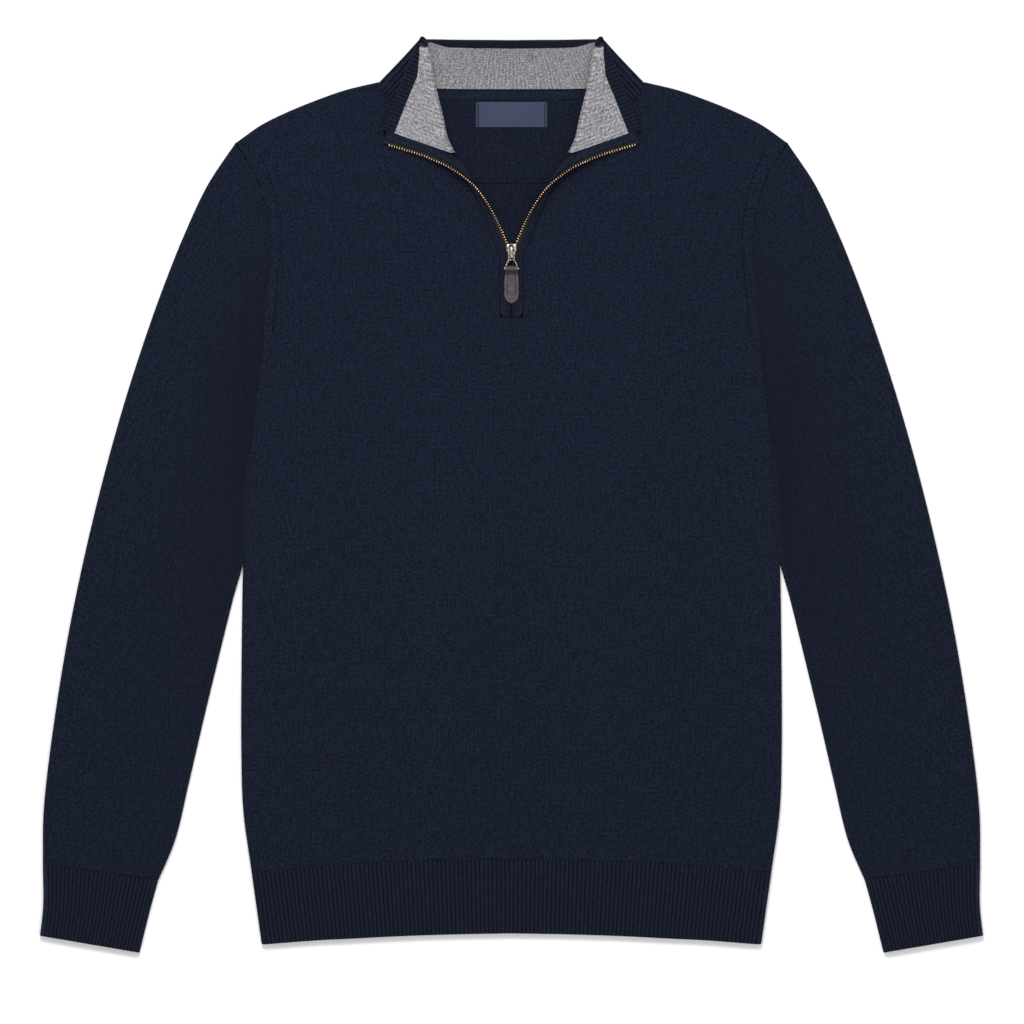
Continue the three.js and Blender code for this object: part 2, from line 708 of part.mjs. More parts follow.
function cuff(side) {
  const steps = 2 * CUFF_RIBS;
  const shares = Array.from({ length: steps + 1 }, (_, i) => 1 - i / steps);
  const columns = tubeColumns(shares, [0, 0.5, 1]);
  const grid = columns.map((column, index) => [0, 1].map((along) => {
    const ridge = index % 2 === 0 ? 1 : -1;
    const relief = column.lift === 1 ? (ridge * RIB_HEIGHT) / 2 : 0;
    return tubeCorner(cuffSides, cuffNormals, column, along, 0, relief, side);
  }));
  return wallOver(cellsOf(grid, true));
}

// Hem

// A point of the hem band, across from its left end to its right end and along down its height
function hemPlan(share, along) {
  const offset = Math.abs(2 * share - 1);
  const top = hemTop.getPointAt(offset);
  const bottom = hemBottom.getPointAt(offset);
  top.y -= SEAM_GAP;
  const end = top.lerp(bottom, along);
  end.x -= FOLD_RADIUS * offset;
  return share < 0.5 ? mirrored(end) : end;
}

function hemCorner(face, column, along, relief) {
  const plan = hemPlan(column.share, along);
  const middle = FOLD_RADIUS + (face * SEAM_GAP) / 2;
  const radius = FOLD_RADIUS - SEAM_GAP / 2;
  const place = (reach, extra) => {
    const z = middle + face * (reach * column.lift + extra);
    return new THREE.Vector3(plan.x + column.lean * reach, plan.y, z);
  };
  return { outer: place(radius, relief), inner: place(radius - WALL, 0) };
}

// Columns of the plain back of the hem, and rib columns of its front that share an inner point
const HEM_BACK_COLUMNS = 12;
const HEM_STEP = 6;

function hem(face) {
  const count = face > 0 ? 2 * HEM_RIBS : HEM_BACK_COLUMNS;
  const fold = (share, out) => FOLD_STEPS.map((angle) => {
    return { share, lean: out * Math.cos(angle), lift: Math.sin(angle) };
  });
  const inside = Array.from({ length: count + 1 }, (_, i) => ({ share: i / count, lean: 0, lift: 1 }));
  const columns = [...fold(0, -1).reverse(), ...inside, ...fold(1, 1)];
  const grid = columns.map((column, index) => [0, 1].map((along) => {
    const ridge = index % 2 === 0 ? 1 : -1;
    const ribbed = face > 0 && column.lift === 1;
    return hemCorner(face, column, along, ribbed ? (ridge * RIB_HEIGHT) / 2 : 0);
  }));
  return ribbedWall(grid, face > 0 ? HEM_STEP : 1);
}

// Collar

// Row shares down a stretch of collar that is not folded: at its side and at the middle of the back
const SIDE_ROWS = [0, 0.44, 0.87, 0.9, 0.93, 0.96, 1];
const BACK_ROWS = [0, 0.07, 0.25, 0.44, 0.62, 0.8, 1];
const FRONT_NECK_END = 0.955;

// How the turned-down front becomes the standing side: how far it is turned, how much higher and
// shorter it gets, and the shares of the front from which each of these sets in
const TURNED_DOWN = 180;
const SIDE = { turn: 55, turnFrom: 0.8, rise: 11.5, riseFrom: 0.1, length: 3, shortFrom: 0.9 };
const FOLD_LIFT = 0.2;
const BAND_SHARE = 0.5;

// The section of the turned-down front, share 0 at the zip and 1 at the side of the neck
function frontCollarSection(share) {
  const seam = frontNeck.getPointAt(lerp(0, FRONT_NECK_END, share));
  const roll = rollLine.getPointAt(share);
  const edge = flapEdge.getPointAt(share);
  const inward = roll.clone().sub(seam).normalize();
  const back = edge.clone().sub(roll).normalize();
  const turn = radians(lerp(TURNED_DOWN, SIDE.turn, smooth(share, SIDE.turnFrom, 1)));
  const start = moved(seam, inward, COLLAR_SEAM_GAP);
  start.z = COLLAR_SEAM_HEIGHT;
  const fold = moved(roll, inward, -ROLL_RADIUS);
  fold.z = COLLAR_SEAM_HEIGHT + FOLD_LIFT + SIDE.rise * smooth(share, SIDE.riseFrom, 1);
  const round = (angle) => {
    const point = moved(fold, inward, ROLL_RADIUS * Math.sin(Math.min(angle, Math.PI / 2)));
    if (angle > Math.PI / 2) point.addScaledVector(back, ROLL_RADIUS * (1 - Math.sin(angle)));
    point.z += ROLL_RADIUS * (1 - Math.cos(angle));
    return point;
  };
  const over = round(turn);
  const length = lerp(edge.distanceTo(roll), SIDE.length, smooth(share, SIDE.shortFrom, 1));
  const heading = Math.cos(turn) < 0 ? back.clone() : inward.clone();
  heading.multiplyScalar(Math.abs(Math.cos(turn)));
  heading.z = Math.sin(turn);
  const band = Math.max(length - TOP_BAND, length * BAND_SHARE);
  return [
    start,
    start.clone().lerp(fold, 0.5),
    fold,
    round(turn / 2),
    over,
    moved(over, heading, band),
    moved(over, heading, length),
  ];
}

// The section of the back, share 0 at the side of the neck and 1 at the middle of the back
const BACK_SEAM_SIDE = new THREE.Vector3(104.3, 336.2, BACK_SEAM_HEIGHT);
const BACK_TOP_SIDE_HEIGHT = 14.6;
const BACK_NECK_END = 0.93;
const BACK_SIDE_POWER = 12;
const RISE_POWER = 1.15;

// Shares of the back, from its side, over which it reaches its full height and its own rows
const FULL_HEIGHT_SHARE = 0.7;
const OWN_ROWS_SHARE = 0.35;

function backCollarSection(share) {
  const seam = backNeck.getPointAt(BACK_NECK_END * (1 - share));
  seam.y += COLLAR_SEAM_GAP;
  seam.z = BACK_SEAM_HEIGHT;
  seam.lerp(BACK_SEAM_SIDE, (1 - share) ** BACK_SIDE_POWER);
  const top = backTopEdge.getPointAt(1 - share);
  const sideRise = BACK_TOP_SIDE_HEIGHT - BACK_SEAM_HEIGHT;
  const rise = lerp(sideRise, BACK_COLLAR_RISE, smooth(share, 0, FULL_HEIGHT_SHARE));
  return SIDE_ROWS.map((side, row) => {
    const height = lerp(side, BACK_ROWS[row], smooth(share, 0, OWN_ROWS_SHARE));
    const point = seam.clone().lerp(top, height);
    point.z = BACK_SEAM_HEIGHT + rise * height ** RISE_POWER;
    return point;
  });
}

const SIDE_OUTWARD = new THREE.Vector3(0.7, 0.71, 0);

// The folded side of the collar, between the end of the front and the start of the back
function sideCollarSection(turn) {
  const front = frontCollarSection(1);
  const back = backCollarSection(0);
  return front.map((point, row) => {
    const radius = point.distanceTo(back[row]) / 2;
    const swing = Math.PI * turn;
    const centre = point.clone().lerp(back[row], 0.5);
    const spread = point.clone().sub(back[row]).multiplyScalar(0.5 * Math.cos(swing));
    return centre.add(spread).addScaledVector(SIDE_OUTWARD, radius * Math.sin(swing));
  });
}

// Columns of the collar from the middle of the back round to the zip on the right
function collarHalf() {
  const sections = [];
  const backSteps = COLLAR_BACK_RIBS;
  for (let i = 0; i <= backSteps; i += 1) sections.push(backCollarSection(1 - i / backSteps));
  const foldSteps = 2 * COLLAR_FOLD_RIBS;
  for (let i = 1; i < foldSteps; i += 1) sections.push(sideCollarSection(1 - i / foldSteps));
  const frontSteps = 2 * COLLAR_FRONT_RIBS;
  for (let i = 0; i <= frontSteps; i += 1) sections.push(frontCollarSection(1 - i / frontSteps));
  return sections;
}

const rightSections = collarHalf();
const collarSections = [
  ...rightSections.slice(1).reverse().map((section) => section.map(mirrored)),
  ...rightSections,
];

// Columns on each side that the collar's normals are worked out over
const NORMAL_SPREAD = 2;

// The outward normal of the collar at one point of its grid
function collarNormal(column, row) {
  const last = collarSections.length - 1;
  const rows = collarSections[0].length - 1;
  const before = collarSections[Math.max(0, column - NORMAL_SPREAD)][row];
  const after = collarSections[Math.min(last, column + NORMAL_SPREAD)][row];
  const below = collarSections[column][Math.max(0, row - 1)];
  const above = collarSections[column][Math.min(rows, row + 1)];
  return above.clone().sub(below).cross(after.clone().sub(before)).normalize();
}

const collarNormals = collarSections.map((section, column) => {
  return section.map((_, row) => collarNormal(column, row));
});

function collar() {
  const grid = collarSections.map((section, column) => section.map((point, row) => {
    const normal = collarNormals[column][row];
    const ridge = column % 2 === 0 ? 1 : -1;
    return {
      outer: moved(point, normal, (COLLAR_WALL + ridge * RIB_HEIGHT) / 2),
      inner: moved(point, normal, -COLLAR_WALL / 2),
    };
  }));
  return ribbedWall(grid, COLLAR_STEP);
}

// A stretch of lining on the inside of the collar, between two columns and two rows
function lining(firstColumn, lastColumn, firstRow, lastRow) {
  const near = -COLLAR_WALL / 2 - SEAM_GAP;
  const far = near - LINING_WALL;
  const grid = [];
  for (let column = firstColumn; column <= lastColumn; column += COLLAR_STEP) {
    const corners = [];
    for (let row = firstRow; row <= lastRow; row += 1) {
      const point = collarSections[column][row];
      const normal = collarNormals[column][row];
      corners.push({ outer: moved(point, normal, far), inner: moved(point, normal, near) });
    }
    grid.push(corners);
  }
  return wallOver(cellsOf(grid));
}

// Strips beside the zip

// A strip from one share of the teeth line to its end. size has its outer reach, low and high.
function zipStrip(side, from, fromReach, size) {
  const grid = [];
  for (let i = 0; i <= ZIP_STEPS; i += 1) {
    const frame = zipFrame(lerp(from, 1, i / ZIP_STEPS));
    const corner = (reach, lift) => {
      const point = moved(moved(frame.teeth, frame.across, -reach), frame.outer, lift);
      return side > 0 ? point : mirrored(point);
    };
    const near = fromReach(frame);
    grid.push([
      { outer: corner(near, size.high), inner: corner(near, size.low) },
      { outer: corner(size.to, size.high), inner: corner(size.to, size.low) },
    ]);
  }
  return wallOver(cellsOf(grid));
}

function zipPieces(side, name) {
  const tape = zipStrip(side, TAPE_START, () => TAPE.from, TAPE);
  const band = zipStrip(side, 0, (frame) => frame.band, BAND);
  const facing = zipStrip(side, TAPE_START, (frame) => Math.max(FACING.from, frame.band), FACING);
  addPiece("zip_tape_" + name, tape, BLACK_TAPE, 0.8);
  addPiece("placket_band_" + name, band, NAVY);
  addPiece("zip_facing_" + name, facing, NAVY_TAPE);
}

// Pieces lying flat inside the back neck

function slab(shape, low, high) {
  const options = { depth: high - low, bevelEnabled: false, curveSegments: 6 };
  const geometry = new THREE.ExtrudeGeometry(shape, options);
  geometry.translate(0, 0, low);
  return geometry;
}

function neckPatch() {
  const shape = new THREE.Shape();
  const power = 2 / PATCH.squareness;
  const rows = [];
  for (let i = 0; i <= PATCH_STEPS; i += 1) {
    const turn = (Math.PI * i) / PATCH_STEPS;
    const across = Math.sign(Math.cos(turn)) * Math.abs(Math.cos(turn)) ** power;
    const down = Math.sin(turn) ** power;
    rows.push(new THREE.Vector2(PATCH.halfWidth * across, lerp(PATCH.top, PATCH.bottom, down)));
  }
  shape.setFromPoints(rows);
  return slab(shape, PATCH.low, PATCH.high);
}

function neckTape() {
  const upper = [];
  for (let i = 0; i <= TAPE_STEPS; i += 1) {
    const x = lerp(-NECK_TAPE.halfWidth, NECK_TAPE.halfWidth, i / TAPE_STEPS);
    const share = Math.min(1, Math.abs(x) / BACK_NECK[BACK_NECK.length - 1].x);
    upper.push(new THREE.Vector2(x, backNeck.getPointAt(share).y - SEAM_GAP));
  }
  const lower = upper.map((point) => new THREE.Vector2(point.x, point.y - NECK_TAPE.width)).reverse();
  return slab(new THREE.Shape([...upper, ...lower]), NECK_TAPE.low, NECK_TAPE.high);
}

function label() {
  const w = LABEL.width / 2;
  const low = LABEL.middle - LABEL.height / 2;
  const high = LABEL.middle + LABEL.height / 2;
  const points = [
    [-w, low],
    [w, low],
    [w, high],
    [-w, high],
  ].map(([x, y]) => new THREE.Vector2(x, y));
  return slab(new THREE.Shape(points), LABEL.low, LABEL.high);
}

// Slider, bail and tab

function solidOf(geometry) {
  const shared = new Map();
  const vertices = [];
  const triangles = [];
  const plain = geometry.index ? geometry.toNonIndexed() : geometry;
  const position = plain.getAttribute("position");
  for (let i = 0; i < position.count; i += 1) {
    const point = new THREE.Vector3().fromBufferAttribute(position, i);
    const key = point.toArray().map((value) => Math.round(value * 10000)).join(" ");
    if (!shared.has(key)) {
      shared.set(key, shared.size);
      vertices.push(point.x, point.y, point.z);
    }
    triangles.push(shared.get(key));
  }
  const kept = [];
  for (let i = 0; i < triangles.length; i += 3) {
    const [a, b, c] = triangles.slice(i, i + 3);
    if (a !== b && b !== c && a !== c) kept.push(a, b, c);
  }
  const mesh = new wasm.Mesh({
    numProp: 3,
    vertProperties: new Float32Array(vertices),
    triVerts: new Uint32Array(kept),
  });
  return new wasm.Manifold(mesh);
}

function geometryOf(solid) {
  const mesh = solid.getMesh();
  const geometry = new THREE.BufferGeometry();
  const count = mesh.numProp;
  const positions = [];
  for (let i = 0; i < mesh.vertProperties.length; i += count) {
    positions.push(...mesh.vertProperties.slice(i, i + 3));
  }
  geometry.setAttribute("position", new THREE.Float32BufferAttribute(positions, 3));
  geometry.setIndex([...mesh.triVerts]);
  geometry.computeVertexNormals();
  return geometry;
}

function block(fromX, toX, fromY, toY, fromZ, toZ) {
  const geometry = new THREE.BoxGeometry(toX - fromX, toY - fromY, toZ - fromZ);
  geometry.translate((fromX + toX) / 2, (fromY + toY) / 2, (fromZ + toZ) / 2);
  return solidOf(geometry);
}

// A round bar between two points
function bar(from, to, radius, sides = 8) {
  const along = to.clone().sub(from);
  const geometry = new THREE.CylinderGeometry(radius, radius, along.length(), sides);
  geometry.applyQuaternion(new THREE.Quaternion().setFromUnitVectors(
    new THREE.Vector3(0, 1, 0),
    along.clone().normalize(),
  ));
  const middle = from.clone().lerp(to, 0.5);
  geometry.translate(middle.x, middle.y, middle.z);
  return solidOf(geometry);
}

function ball(at, radius) {
  const geometry = new THREE.SphereGeometry(radius, 8, 5);
  geometry.translate(at.x, at.y, at.z);
  return solidOf(geometry);
}

function slider() {
  const { top, bottom, halfWidth, plate } = SLIDER;
  const deckTop = SLIDER_DECK + plate;
  const lower = block(-halfWidth, halfWidth, bottom, top, SLIDER_LOW, SLIDER_LOW + plate);
  const upper = block(-halfWidth, halfWidth, bottom, top, SLIDER_DECK, deckTop);
  const wedge = block(
    -WEDGE.halfWidth,
    WEDGE.halfWidth,
    WEDGE.from,
    WEDGE.to,
    SLIDER_LOW + SUNK,
    SLIDER_DECK + SUNK,
  );
  const { halfWidth: half, from, to, high, bar: thick } = BRIDGE;
  const arch = block(-half, half, from, to, deckTop - SUNK, high);
  const opening = block(-half - 1, half + 1, from + thick, to - thick, deckTop, high - thick);
  return geometryOf(lower.add(upper).add(wedge).add(arch.subtract(opening)));
}

function bail() {
  const corner = (end, side) => new THREE.Vector3(side * end.halfWidth, end.y, end.z);
  let solid = bar(corner(BAIL_TOP, -1), corner(BAIL_TOP, 1), WIRE);
  solid = solid.add(bar(corner(BAIL_FOOT, -1), corner(BAIL_FOOT, 1), WIRE));
  for (const side of [-1, 1]) {
    solid = solid.add(bar(corner(BAIL_TOP, side), corner(BAIL_FOOT, side), WIRE));
    solid = solid.add(ball(corner(BAIL_TOP, side), WIRE));
    solid = solid.add(ball(corner(BAIL_FOOT, side), BALL));
  }
  return geometryOf(solid);
}

// A leather strip folded round the foot of the bail, with a blunt point at its end
function pullTab() {
  const { halfWidth, bottom, thickness, low, loop, bore } = TAB;
  const shape = new THREE.Shape();
  const shoulderY = bottom + halfWidth + TAB_SHOULDER;
  const end = halfWidth - TAB_TAPER;
  shape.moveTo(-end, BAIL_FOOT.y);
  shape.lineTo(-halfWidth, shoulderY);
  shape.quadraticCurveTo(-halfWidth, bottom + 1, 0, bottom);
  shape.quadraticCurveTo(halfWidth, bottom + 1, halfWidth, shoulderY);
  shape.lineTo(end, BAIL_FOOT.y);
  shape.closePath();
  const strip = solidOf(slab(shape, low, low + thickness));
  const left = new THREE.Vector3(-end, BAIL_FOOT.y, BAIL_FOOT.z);
  const right = new THREE.Vector3(end, BAIL_FOOT.y, BAIL_FOOT.z);
  const past = new THREE.Vector3(2, 0, 0);
  const roll = bar(left, right, loop, 14);
  const hole = bar(left.sub(past), right.add(past), bore, 10);
  return geometryOf(strip.add(roll).subtract(hole));
}

addPiece("back_panel", backPanel(), NAVY);
addPiece("front_panel", frontPanel(), NAVY);
addPiece("hem_back", hem(-1), NAVY_RIB);
addPiece("hem_front", hem(1), NAVY_RIB);
for (const [side, name] of [[1, "right"], [-1, "left"]]) {
  addPiece("sleeve_" + name, sleeve(side), NAVY);
  addPiece("cuff_" + name, cuff(side), NAVY_RIB);
  zipPieces(side, name);
}
addPiece("collar", collar(), NAVY_RIB);
const frontColumns = 2 * COLLAR_FRONT_RIBS;
const lastColumn = collarSections.length - 1;
const sideColumns = frontColumns + 2 * COLLAR_FOLD_RIBS;
const flapColumns = frontColumns - LINING_SIDE_COLUMNS;
const backColumn = sideColumns + COLLAR_STEP;
addPiece("collar_lining_left", lining(0, flapColumns, 3, 5), GREY);
addPiece("collar_lining_right", lining(lastColumn - flapColumns, lastColumn, 3, 5), GREY);
addPiece("collar_lining_back", lining(backColumn, lastColumn - backColumn, 1, 5), GREY);
addPiece("neck_tape", neckTape(), NAVY_TAPE);
addPiece("neck_patch", neckPatch(), NAVY);
addPiece("label", label(), LABEL_BLUE, 0.7);
addPiece("slider", slider(), BRASS, 0.35, 0.9);
addPiece("pull_bail", bail(), BRASS, 0.35, 0.9);
addPiece("pull_tab", pullTab(), LEATHER, 0.7);

export default sweater;
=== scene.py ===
import math

import bpy
import numpy as np
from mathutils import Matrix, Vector


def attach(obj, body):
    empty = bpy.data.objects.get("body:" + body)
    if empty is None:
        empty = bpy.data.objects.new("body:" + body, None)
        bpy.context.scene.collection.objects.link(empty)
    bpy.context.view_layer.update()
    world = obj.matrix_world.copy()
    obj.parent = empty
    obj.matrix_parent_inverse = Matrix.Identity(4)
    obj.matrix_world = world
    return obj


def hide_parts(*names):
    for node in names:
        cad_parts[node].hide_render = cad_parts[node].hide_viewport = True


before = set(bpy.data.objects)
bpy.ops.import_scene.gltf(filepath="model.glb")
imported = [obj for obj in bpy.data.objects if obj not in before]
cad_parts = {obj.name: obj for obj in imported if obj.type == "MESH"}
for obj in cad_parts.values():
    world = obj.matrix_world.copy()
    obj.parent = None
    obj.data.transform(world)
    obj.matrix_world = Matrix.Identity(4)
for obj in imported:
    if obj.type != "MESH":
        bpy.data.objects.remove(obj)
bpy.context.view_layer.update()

# Sizes are in millimetres, as in the part's source, and become metres when a mesh is made.
# Tables give the right half; the left half is its mirror image.
MM = 0.001
BODY = "sweater"

# Knit
WALL = 2.4
FOLD_RADIUS = 3
SEAM_GAP = 0.3
ARMHOLE_GAP = -1
CHEST_LOFT = 1.9
SLEEVE_LOFT = 1.5
WALE = 1.65
COURSE = 1.6
STITCH_LEAN = 1.5

# Ribs
RIB_HEIGHT = 1.1
RIB_PITCH = 3.5
STEPS_PER_RIB = 7
HEM_RIBS = 120
CUFF_RIBS = 26
COLLAR_FRONT_RIBS = 24
COLLAR_FOLD_RIBS = 2
COLLAR_BACK_RIBS = 30

# Collar
COLLAR_WALL = 2.2
LINING_WALL = 1
ROLL_RADIUS = 2.7
TOP_BAND = 10
BACK_COLLAR_RISE = 23
COLLAR_SEAM_HEIGHT = 5.8
BACK_SEAM_HEIGHT = 1.6
COLLAR_SEAM_GAP = -1.5

# Zip and placket
PLACKET_BOTTOM = 145.6
PLACKET_EDGE = 9.7
SEAM_REACH = 9.7
PANEL_CLEARANCE = 1.3
TOOTH_PITCH = 2.15

# Where the front's rows pass the underarm, the foot of the placket and the collar's front
UNDERARM_SHARE = 0.5
PLACKET_SHARE = 0.62
COLLAR_SHARE = 0.8
COLLAR_ZIP_SHARE = 10.8 / 15
BACK_NECK_SHARE = 0.48

SIDE_SEAM = [
    (213.3, -309.6), (220.2, -258.7), (221.8, -209.5), (221.6, -135),
    (220.2, -52), (218.1, -4.5), (213.6, 50.4),
]
ARMHOLE = [
    (213.6, 50.4), (208.3, 96.4), (204.2, 132.4), (201.5, 165),
    (197.8, 205), (200.9, 229.6), (210.2, 261), (227, 288.2),
]
SHOULDER = [
    (227, 288.2), (207, 302.2), (187.8, 312), (164.4, 321.9), (136.9, 331.7), (109.5, 338.3),
]
FRONT_NECK = [(50, 277), (70, 295), (92, 315), (108.3, 335.5)]
BACK_NECK = [(0, 331.3), (50, 331.4), (85, 331.9), (99, 332.5), (108.3, 335.5)]
HEM_TOP = [(0, -298.9), (80, -300.3), (150, -303.8), (213.3, -309.6)]
HEM_BOTTOM = [(0, -359.6), (46, -360.4), (95, -362), (128, -363.7), (161, -365.3), (205, -368.6)]
SLEEVE_INNER = [
    (216.4, -6), (219, -50), (228.6, -86.5), (240.7, -135.7),
    (252.6, -184.9), (264, -234.1), (275.9, -283.3), (289.7, -316.4),
]
SLEEVE_OUTER = [
    (249.3, 253.8), (268.6, 212.8), (285, 171.8), (299.7, 130.8), (319.4, 69.3),
    (341.5, -12.7), (362.9, -111.1), (378.4, -209.5), (383.9, -262), (384.4, -302.7),
]
CUFF_INNER = [(289.9, -316.8), (296.5, -341), (305.1, -375.7)]
CUFF_OUTER = [(384.4, -303.1), (384.2, -338), (386.8, -361.7)]
ROLL_LINE = [(48.6, 279.5), (54, 291), (58.5, 311), (64.4, 335), (68.3, 359), (71.6, 370.6)]
FLAP_EDGE = [(102.6, 298.5), (93, 323), (83, 347), (73.4, 371.6)]
BACK_TOP_EDGE = [(0, 371.2), (45, 371.8), (70.6, 372.6)]

# Line of the teeth: x, y, height of the seam beside it, tilt of the strip, start of the band
ZIP_LINE = [
    (0, 145.8, 4.6, 0, 0.4), (0, 168, 4.6, 0, 0.4), (0, 184, 4.6, 0, 0.5),
    (0, 191, 4.6, 0, 4.6), (1, 199, 4.6, 0, 4), (3.8, 206.5, 4.6, 0, 3.6),
    (10, 221, 5, 30, 3.4), (14.6, 230, 5.6, 46, 3.4), (21.7, 241.5, 6.3, 66, 3.4),
    (30.6, 252.8, 7.1, 88, 3.4), (40.5, 261, 8.1, 112, 3.4), (51.8, 268.3, 9.5, 138, 3.4),
    (64.4, 274, 10.7, 158, 3.4), (75, 278.3, 11.2, 170, 3.4), (88, 282.3, 11.3, 178, 3.4),
    (105, 287.5, 11.3, 180, 3.4),
]

# Soft troughs in the front: from x, y to x, y, then depth and width
TROUGHS = [
    (-130, -64, -163, -178, 1.2, 14), (-163, -178, -190, -277, 1.3, 12),
    (-200, -110, -206, -189, 0.8, 9), (-81, -219, -91, -287, 0.9, 10),
    (-26, -137, -23, -260, 0.9, 14), (142, -132, 165, -211, 1.2, 13),
    (165, -211, 187, -282, 1.2, 12), (64, -240, 80, -291, 0.9, 10),
    (189, -41, 200, -192, 0.8, 10),
]


def unit(vectors):
    return vectors / np.maximum(np.linalg.norm(vectors, axis=-1, keepdims=True), 1e-9)


def smooth(value, low, high):
    share = np.clip((value - low) / (high - low), 0, 1)
    return share * share * (3 - 2 * share)


def lerp(a, b, share):
    return a + (b - a) * share


def toward(a, b, share):
    """Points moved from a toward b, with one share for each point"""
    return a + (b - a) * np.asarray(share)[..., None]


def right_of(tangent):
    return np.stack([tangent[..., 1], -tangent[..., 0]], axis=-1)


class Curve:
    """A smooth curve through the rows of a table, by row or by length"""

    def __init__(self, rows):
        points = np.array([row[:2] for row in rows], float)
        first = 2 * points[0] - points[1]
        last = 2 * points[-1] - points[-2]
        self.points = np.vstack([first, points, last])
        self.spans = len(points) - 1
        self.shares = np.linspace(0, 1, 601)
        steps = np.linalg.norm(np.diff(self.at(self.shares), axis=0), axis=1)
        self.lengths = np.concatenate([[0], np.cumsum(steps)])

    @property
    def length(self):
        return self.lengths[-1]

    def at(self, share):
        place = np.clip(np.asarray(share, float), 0, 1) * self.spans
        span = np.minimum(place.astype(int), self.spans - 1)
        mix = (place - span)[..., None]
        p0, p1, p2, p3 = (self.points[span + k] for k in range(4))
        d0, d1, d2 = (
            np.sqrt(np.linalg.norm(b - a, axis=-1, keepdims=True))
            for a, b in ((p0, p1), (p1, p2), (p2, p3))
        )
        t1 = d1 * ((p1 - p0) / d0 - (p2 - p0) / (d0 + d1) + (p2 - p1) / d1)
        t2 = d1 * ((p2 - p1) / d1 - (p3 - p1) / (d1 + d2) + (p3 - p2) / d2)
        square = -3 * p1 + 3 * p2 - 2 * t1 - t2
        cube = 2 * p1 - 2 * p2 + t1 + t2
        return p1 + mix * (t1 + mix * (square + mix * cube))

    def tangent(self, share):
        step = 1e-4
        low = np.clip(np.asarray(share, float) - step, 0, 1)
        high = np.clip(np.asarray(share, float) + step, 0, 1)
        return unit(self.at(high) - self.at(low))

    def by_length(self, share):
        return np.interp(np.asarray(share, float) * self.length, self.lengths, self.shares)

    def along(self, share):
        return self.at(self.by_length(share))

    def tangent_along(self, share):
        return self.tangent(self.by_length(share))

    def right(self, share):
        return right_of(self.tangent_along(share))


side_seam = Curve(SIDE_SEAM)
armhole = Curve(ARMHOLE)
shoulder = Curve(SHOULDER)
front_neck = Curve(FRONT_NECK)
back_neck = Curve(BACK_NECK)
hem_top = Curve(HEM_TOP)
hem_bottom = Curve(HEM_BOTTOM)
roll_line = Curve(ROLL_LINE)
flap_edge = Curve(FLAP_EDGE)
back_top_edge = Curve(BACK_TOP_EDGE)
zip_line = Curve(ZIP_LINE)
cuff_inner = Curve(CUFF_INNER)
cuff_outer = Curve(CUFF_OUTER)


# Materials

def linear(red, green, blue):
    """A colour given in 0 to 255 as a viewer shows it"""
    def channel(value):
        value /= 255
        return value / 12.92 if value <= 0.04045 else ((value + 0.055) / 1.055) ** 2.4
    return (channel(red), channel(green), channel(blue), 1)


class Look:
    """A material whose nodes are added by short calls"""

    def __init__(self, name, roughness, metallic=0, sheen=0, specular=0.5):
        self.material = bpy.data.materials.new(name)
        self.material.use_nodes = True
        self.tree = self.material.node_tree
        self.shader = self.tree.nodes["Principled BSDF"]
        self.shader.inputs["Roughness"].default_value = roughness
        self.shader.inputs["Metallic"].default_value = metallic
        self.shader.inputs["Specular IOR Level"].default_value = specular
        self.shader.inputs["Sheen Weight"].default_value = sheen
        self.shader.inputs["Sheen Roughness"].default_value = 0.45

    def node(self, kind, **inputs):
        made = self.tree.nodes.new("ShaderNode" + kind)
        for name, value in inputs.items():
            self.put(made.inputs[name.replace("_", " ")], value)
        return made

    def put(self, socket, value):
        if isinstance(value, bpy.types.NodeSocket):
            self.tree.links.new(value, socket)
        else:
            socket.default_value = value

    def math(self, operation, *values):
        made = self.tree.nodes.new("ShaderNodeMath")
        made.operation = operation
        for socket, value in zip(made.inputs, values):
            self.put(socket, value)
        return made.outputs[0]

    def cloth_place(self):
        """The two knit coordinates, in millimetres"""
        made = self.tree.nodes.new("ShaderNodeUVMap")
        made.uv_map = "knit"
        split = self.node("SeparateXYZ", Vector=made.outputs[0])
        return made.outputs[0], split.outputs[0], split.outputs[1]

    def noise(self, place, scale, stretch=(1, 1, 1), detail=2):
        moved = self.node("Mapping", Vector=place, Scale=tuple(scale * s for s in stretch))
        made = self.node("TexNoise", Vector=moved.outputs[0], Scale=1, Detail=detail)
        return made.outputs["Fac"]

    def shade(self, stops, value):
        """A colour ramp over a value, from (position, colour) stops"""
        made = self.tree.nodes.new("ShaderNodeValToRGB")
        ramp = made.color_ramp
        while len(ramp.elements) < len(stops):
            ramp.elements.new(0.5)
        for element, (position, colour) in zip(ramp.elements, stops):
            element.position = position
            element.color = colour
        self.put(made.inputs[0], value)
        return made.outputs[0]

    def bump(self, height, distance):
        made = self.node("Bump", Height=height, Distance=distance * MM, Strength=1)
        self.put(self.shader.inputs["Normal"], made.outputs[0])

    def colour(self, value):
        self.put(self.shader.inputs["Base Color"], value)


